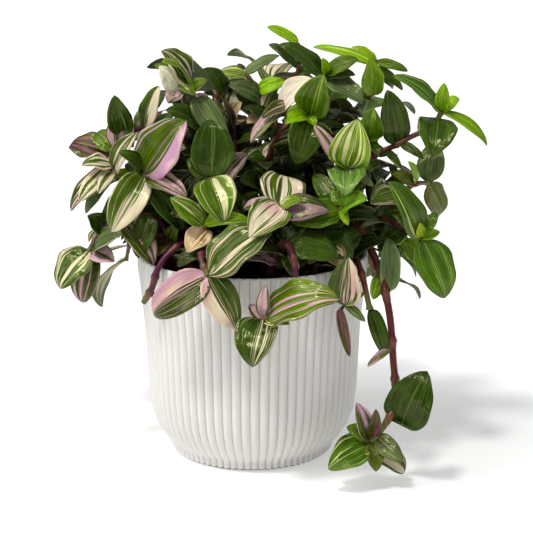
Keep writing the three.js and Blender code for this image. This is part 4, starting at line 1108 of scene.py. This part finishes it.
def leafFinish(name, underside):
    material, wire, shader = newFinish(name)
    facts = {fact: wire.node('ShaderNodeAttribute', {'attribute_name': fact}) for fact in colourFacts}
    under = facts['tone'].other('Alpha')
    seed, share, count = facts['stripes'].other('Vector').parts()
    half, pink, middle = facts['mood'].other('Vector').parts()
    across, x = wire.node('ShaderNodeUVMap', {'uv_map': 'UVMap'}).parts()[:2]
    v = across * 2 - 1

    def grain(sideways, kind, detail=1):  # a noise drawn out along the blade, another on each leaf
        aside, along, offset = leafSkin[kind]
        return wire.noise(wire.join(sideways * aside, x * along, seed * offset), 1, detail)

    aside, along, offset = leafSkin['driftGrain']
    drift = wire.noise(wire.join(x * along, v * aside, seed * offset), 1, 1) - 0.5
    lane = v + drift * leafSkin['drift']
    aside, along, offset = leafSkin['broad']
    place = wire.join(lane * count * aside, x * along + seed * leafSkin['broadShift'], seed * offset)
    broad = wire.noise(place, 1, 1)
    narrow = grain(lane * count, 'narrow')
    value = broad * leafSkin['broadShare'] + narrow * (1 - leafSkin['broadShare'])
    value = value + half * v * leafSkin['halfPull']
    value = value + middle * (leafSkin['middleEdge'] - v * v) * leafSkin['middlePull']
    level = value - (0.5 + (0.5 - share) * leafSkin['shareReach'])
    band = level.ramp(-leafSkin['edge'], leafSkin['edge'])
    fine = grain(lane * count, 'fine') + share * leafSkin['fineShare']
    strong = (share * leafSkin['lineShare'] + leafSkin['lineLeast']).held()
    lines = fine.ramp(*leafSkin['fineLines']) * strong
    band = 1 - (1 - band) * (1 - lines)
    mid = (v.size() + x * leafSkin['midribFade']).ramp(*leafSkin['midribEdge'])
    strong = (share * leafSkin['rim'] + leafSkin['rimLeast']).held()
    rim = v.size().ramp(*leafSkin['rimEdge']) * strong
    outline = (leafSkin['midrib'] * (1 - mid) + rim).held() * leafSkin['outline']
    veins = grain(v, 'veins')
    patches = grain(v, 'patches', detail=2)
    blush = pink + (patches - 0.5) * leafSkin['blushPatches'] - x * leafSkin['blushFade']
    blush = (blush + leafSkin['blushStart']).ramp(*leafSkin['blushEdge'])
    pale = blush.blend(facts['band'], facts['flush'])
    light = patches.spread(leafSkin['shadeRange'], 1) * veins.spread(leafSkin['veinRange'], 1)
    light = light * grain(v, 'streaks').spread(leafSkin['streakRange'], leafSkin['streakMiddle'])
    colour = band.blend(facts['tone'].scaled(light), pale.scaled(veins.spread(*leafSkin['paleVeins'])))
    colour = outline.blend(colour, pale)
    if underside:
        dull = wire.node('ShaderNodeMix', {'data_type': 'RGBA'},
                         {0: leafSkin['dullShare'], 6: colour, 7: paintOf(leafSkin['dull'])}, 2)
        colour = (under * leafSkin['purpleShare']).blend(dull, paintOf(leafSkin['purple']))
        setInputs(shader, leafSkin['underFinish'])
    else:
        feed(shader, 'Roughness', patches.spread(leafSkin['roughRange'], leafSkin['roughness']))
        setInputs(shader, leafSkin['topFinish'])
    feed(shader, 'Base Color', colour)
    height = veins + v.size().ramp(*leafSkin['midribBump']) * leafSkin['midribHeight']
    height = height + grain(v, 'quilt') * leafSkin['quiltHeight']
    roughen(shader, height, leafSkin['bump'], leafSkin['bumpDepth'])
    return material


def stemFinish():
    material, wire, shader = newFinish('stemSkin')
    tone = wire.node('ShaderNodeAttribute', {'attribute_name': 'tone'})
    light = wire.noise(wire.place(), stemLook['streakScale'], 3).spread(stemLook['streakRange'], 1)
    patches = wire.noise(wire.place(), stemLook['patchScale'], 2).ramp(*stemLook['patchEdge'])
    skin = (patches * stemLook['patch']).blend(tone.scaled(light), paintOf(stemLook['green']))
    feed(shader, 'Base Color', skin)
    setInputs(shader, stemLook['finish'])
    return material


def shadeAs(piece, materials):
    piece.data.materials.clear()
    for material in materials:
        piece.data.materials.append(material)
    pickOnly(piece)
    bpy.ops.object.shade_smooth()


def dressStem(stem, templates, finishes, seed):
    course = stem['course']
    shoot = growStem(stem)
    shadeAs(shoot, finishes[2:])
    line = course.line(max(stemLook['rootSteps'], round(course.length / stemLook['rootStep'])))
    blades = growBlades(stem, line, templates, mulberry(seed))
    if blades:
        leaves = joined(blades, stem['name'] + '_leaves')  # it is the active one from here on
        shadeAs(leaves, finishes[:2])
        solid = leaves.modifiers.new('thickness', 'SOLIDIFY')
        solid.thickness = blade['thickness'] * mm
        solid.offset = -1
        solid.material_offset = 1
        bpy.ops.object.modifier_apply(modifier='thickness')
        shoot = joined([leaves, shoot], stem['name'] + '_finished')
    shoot.name = stem['name'] + '_finished'
    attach(shoot, 'root')
    'foliage_striped' if stem['name'] in stripedStems else 'foliage_green'
    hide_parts(stem['name'])


print('leafy stems')
finishes = (leafFinish('leafTop', False), leafFinish('leafUnderside', True), stemFinish())
templates = {kind: templateBlade(grid) for kind, grid in blade['grids'].items()}
for index, stem in enumerate(growStems()):
    dressStem(stem, templates, finishes, stemLook['firstSeed'] + index)
for template, order in templates.values():
    bpy.data.objects.remove(template)

# Floor, light and camera
studio = {  # metres and degrees
    'floorSize': 12.0, 'floorDrop': 0.0005,
    'floorFinish': {'Base Color': (0.7, 0.7, 0.7, 1), 'Roughness': 0.9, 'Specular IOR Level': 0.1,
                    'Emission Color': (1, 1, 1, 1), 'Emission Strength': 0.33},
    'sky': {'Color': (1, 1, 1, 1), 'Strength': 0.14},
    'lights': {  # where from, strength, spread in degrees, colour
        'keyLight': ((-0.7, -0.16, 0.7), 1.85, 44, (1.0, 0.995, 0.985)),
        'glintLight': ((-0.3, -0.38, 0.87), 1.7, 9, (1.0, 0.995, 0.985)),
        'fillLight': ((0.2, -0.85, 0.5), 0.55, 90, (1.0, 1.0, 1.0)),
        'topLight': ((0.25, 0.3, 0.9), 0.5, 100, (1.0, 1.0, 1.0)),
    },
    'eye': (0.0085, -0.96, 0.356), 'tilt': 75.85, 'lens': 109.5,
}
print('studio')
deselectAll()
bpy.ops.mesh.primitive_plane_add(size=studio['floorSize'], location=(0, 0, -studio['floorDrop']))
floor = bpy.context.object
floor.name = 'floor'
bakePlace(floor)
material, wire, shader = newFinish('floorPaint')
setInputs(shader, studio['floorFinish'])
floor.data.materials.append(material)

world = bpy.data.worlds.new('studioWorld')
bpy.context.scene.world = world
world.use_nodes = True
setInputs(world.node_tree.nodes['Background'], studio['sky'])
bpy.context.scene.view_settings.view_transform = 'Standard'

for name, (source, strength, spread, colour) in studio['lights'].items():
    deselectAll()
    aim = Vector(source).to_track_quat('Z', 'Y').to_euler()
    bpy.ops.object.light_add(type='SUN', location=source, rotation=aim)
    lamp = bpy.context.object
    lamp.name = name
    lamp.data.angle = math.radians(spread)
    lamp.data.energy = strength
    lamp.data.color = colour

deselectAll()
bpy.ops.object.camera_add(location=studio['eye'], rotation=(math.radians(studio['tilt']), 0, 0))
camera = bpy.context.object
camera.data.lens = studio['lens']
bpy.context.scene.camera = camera
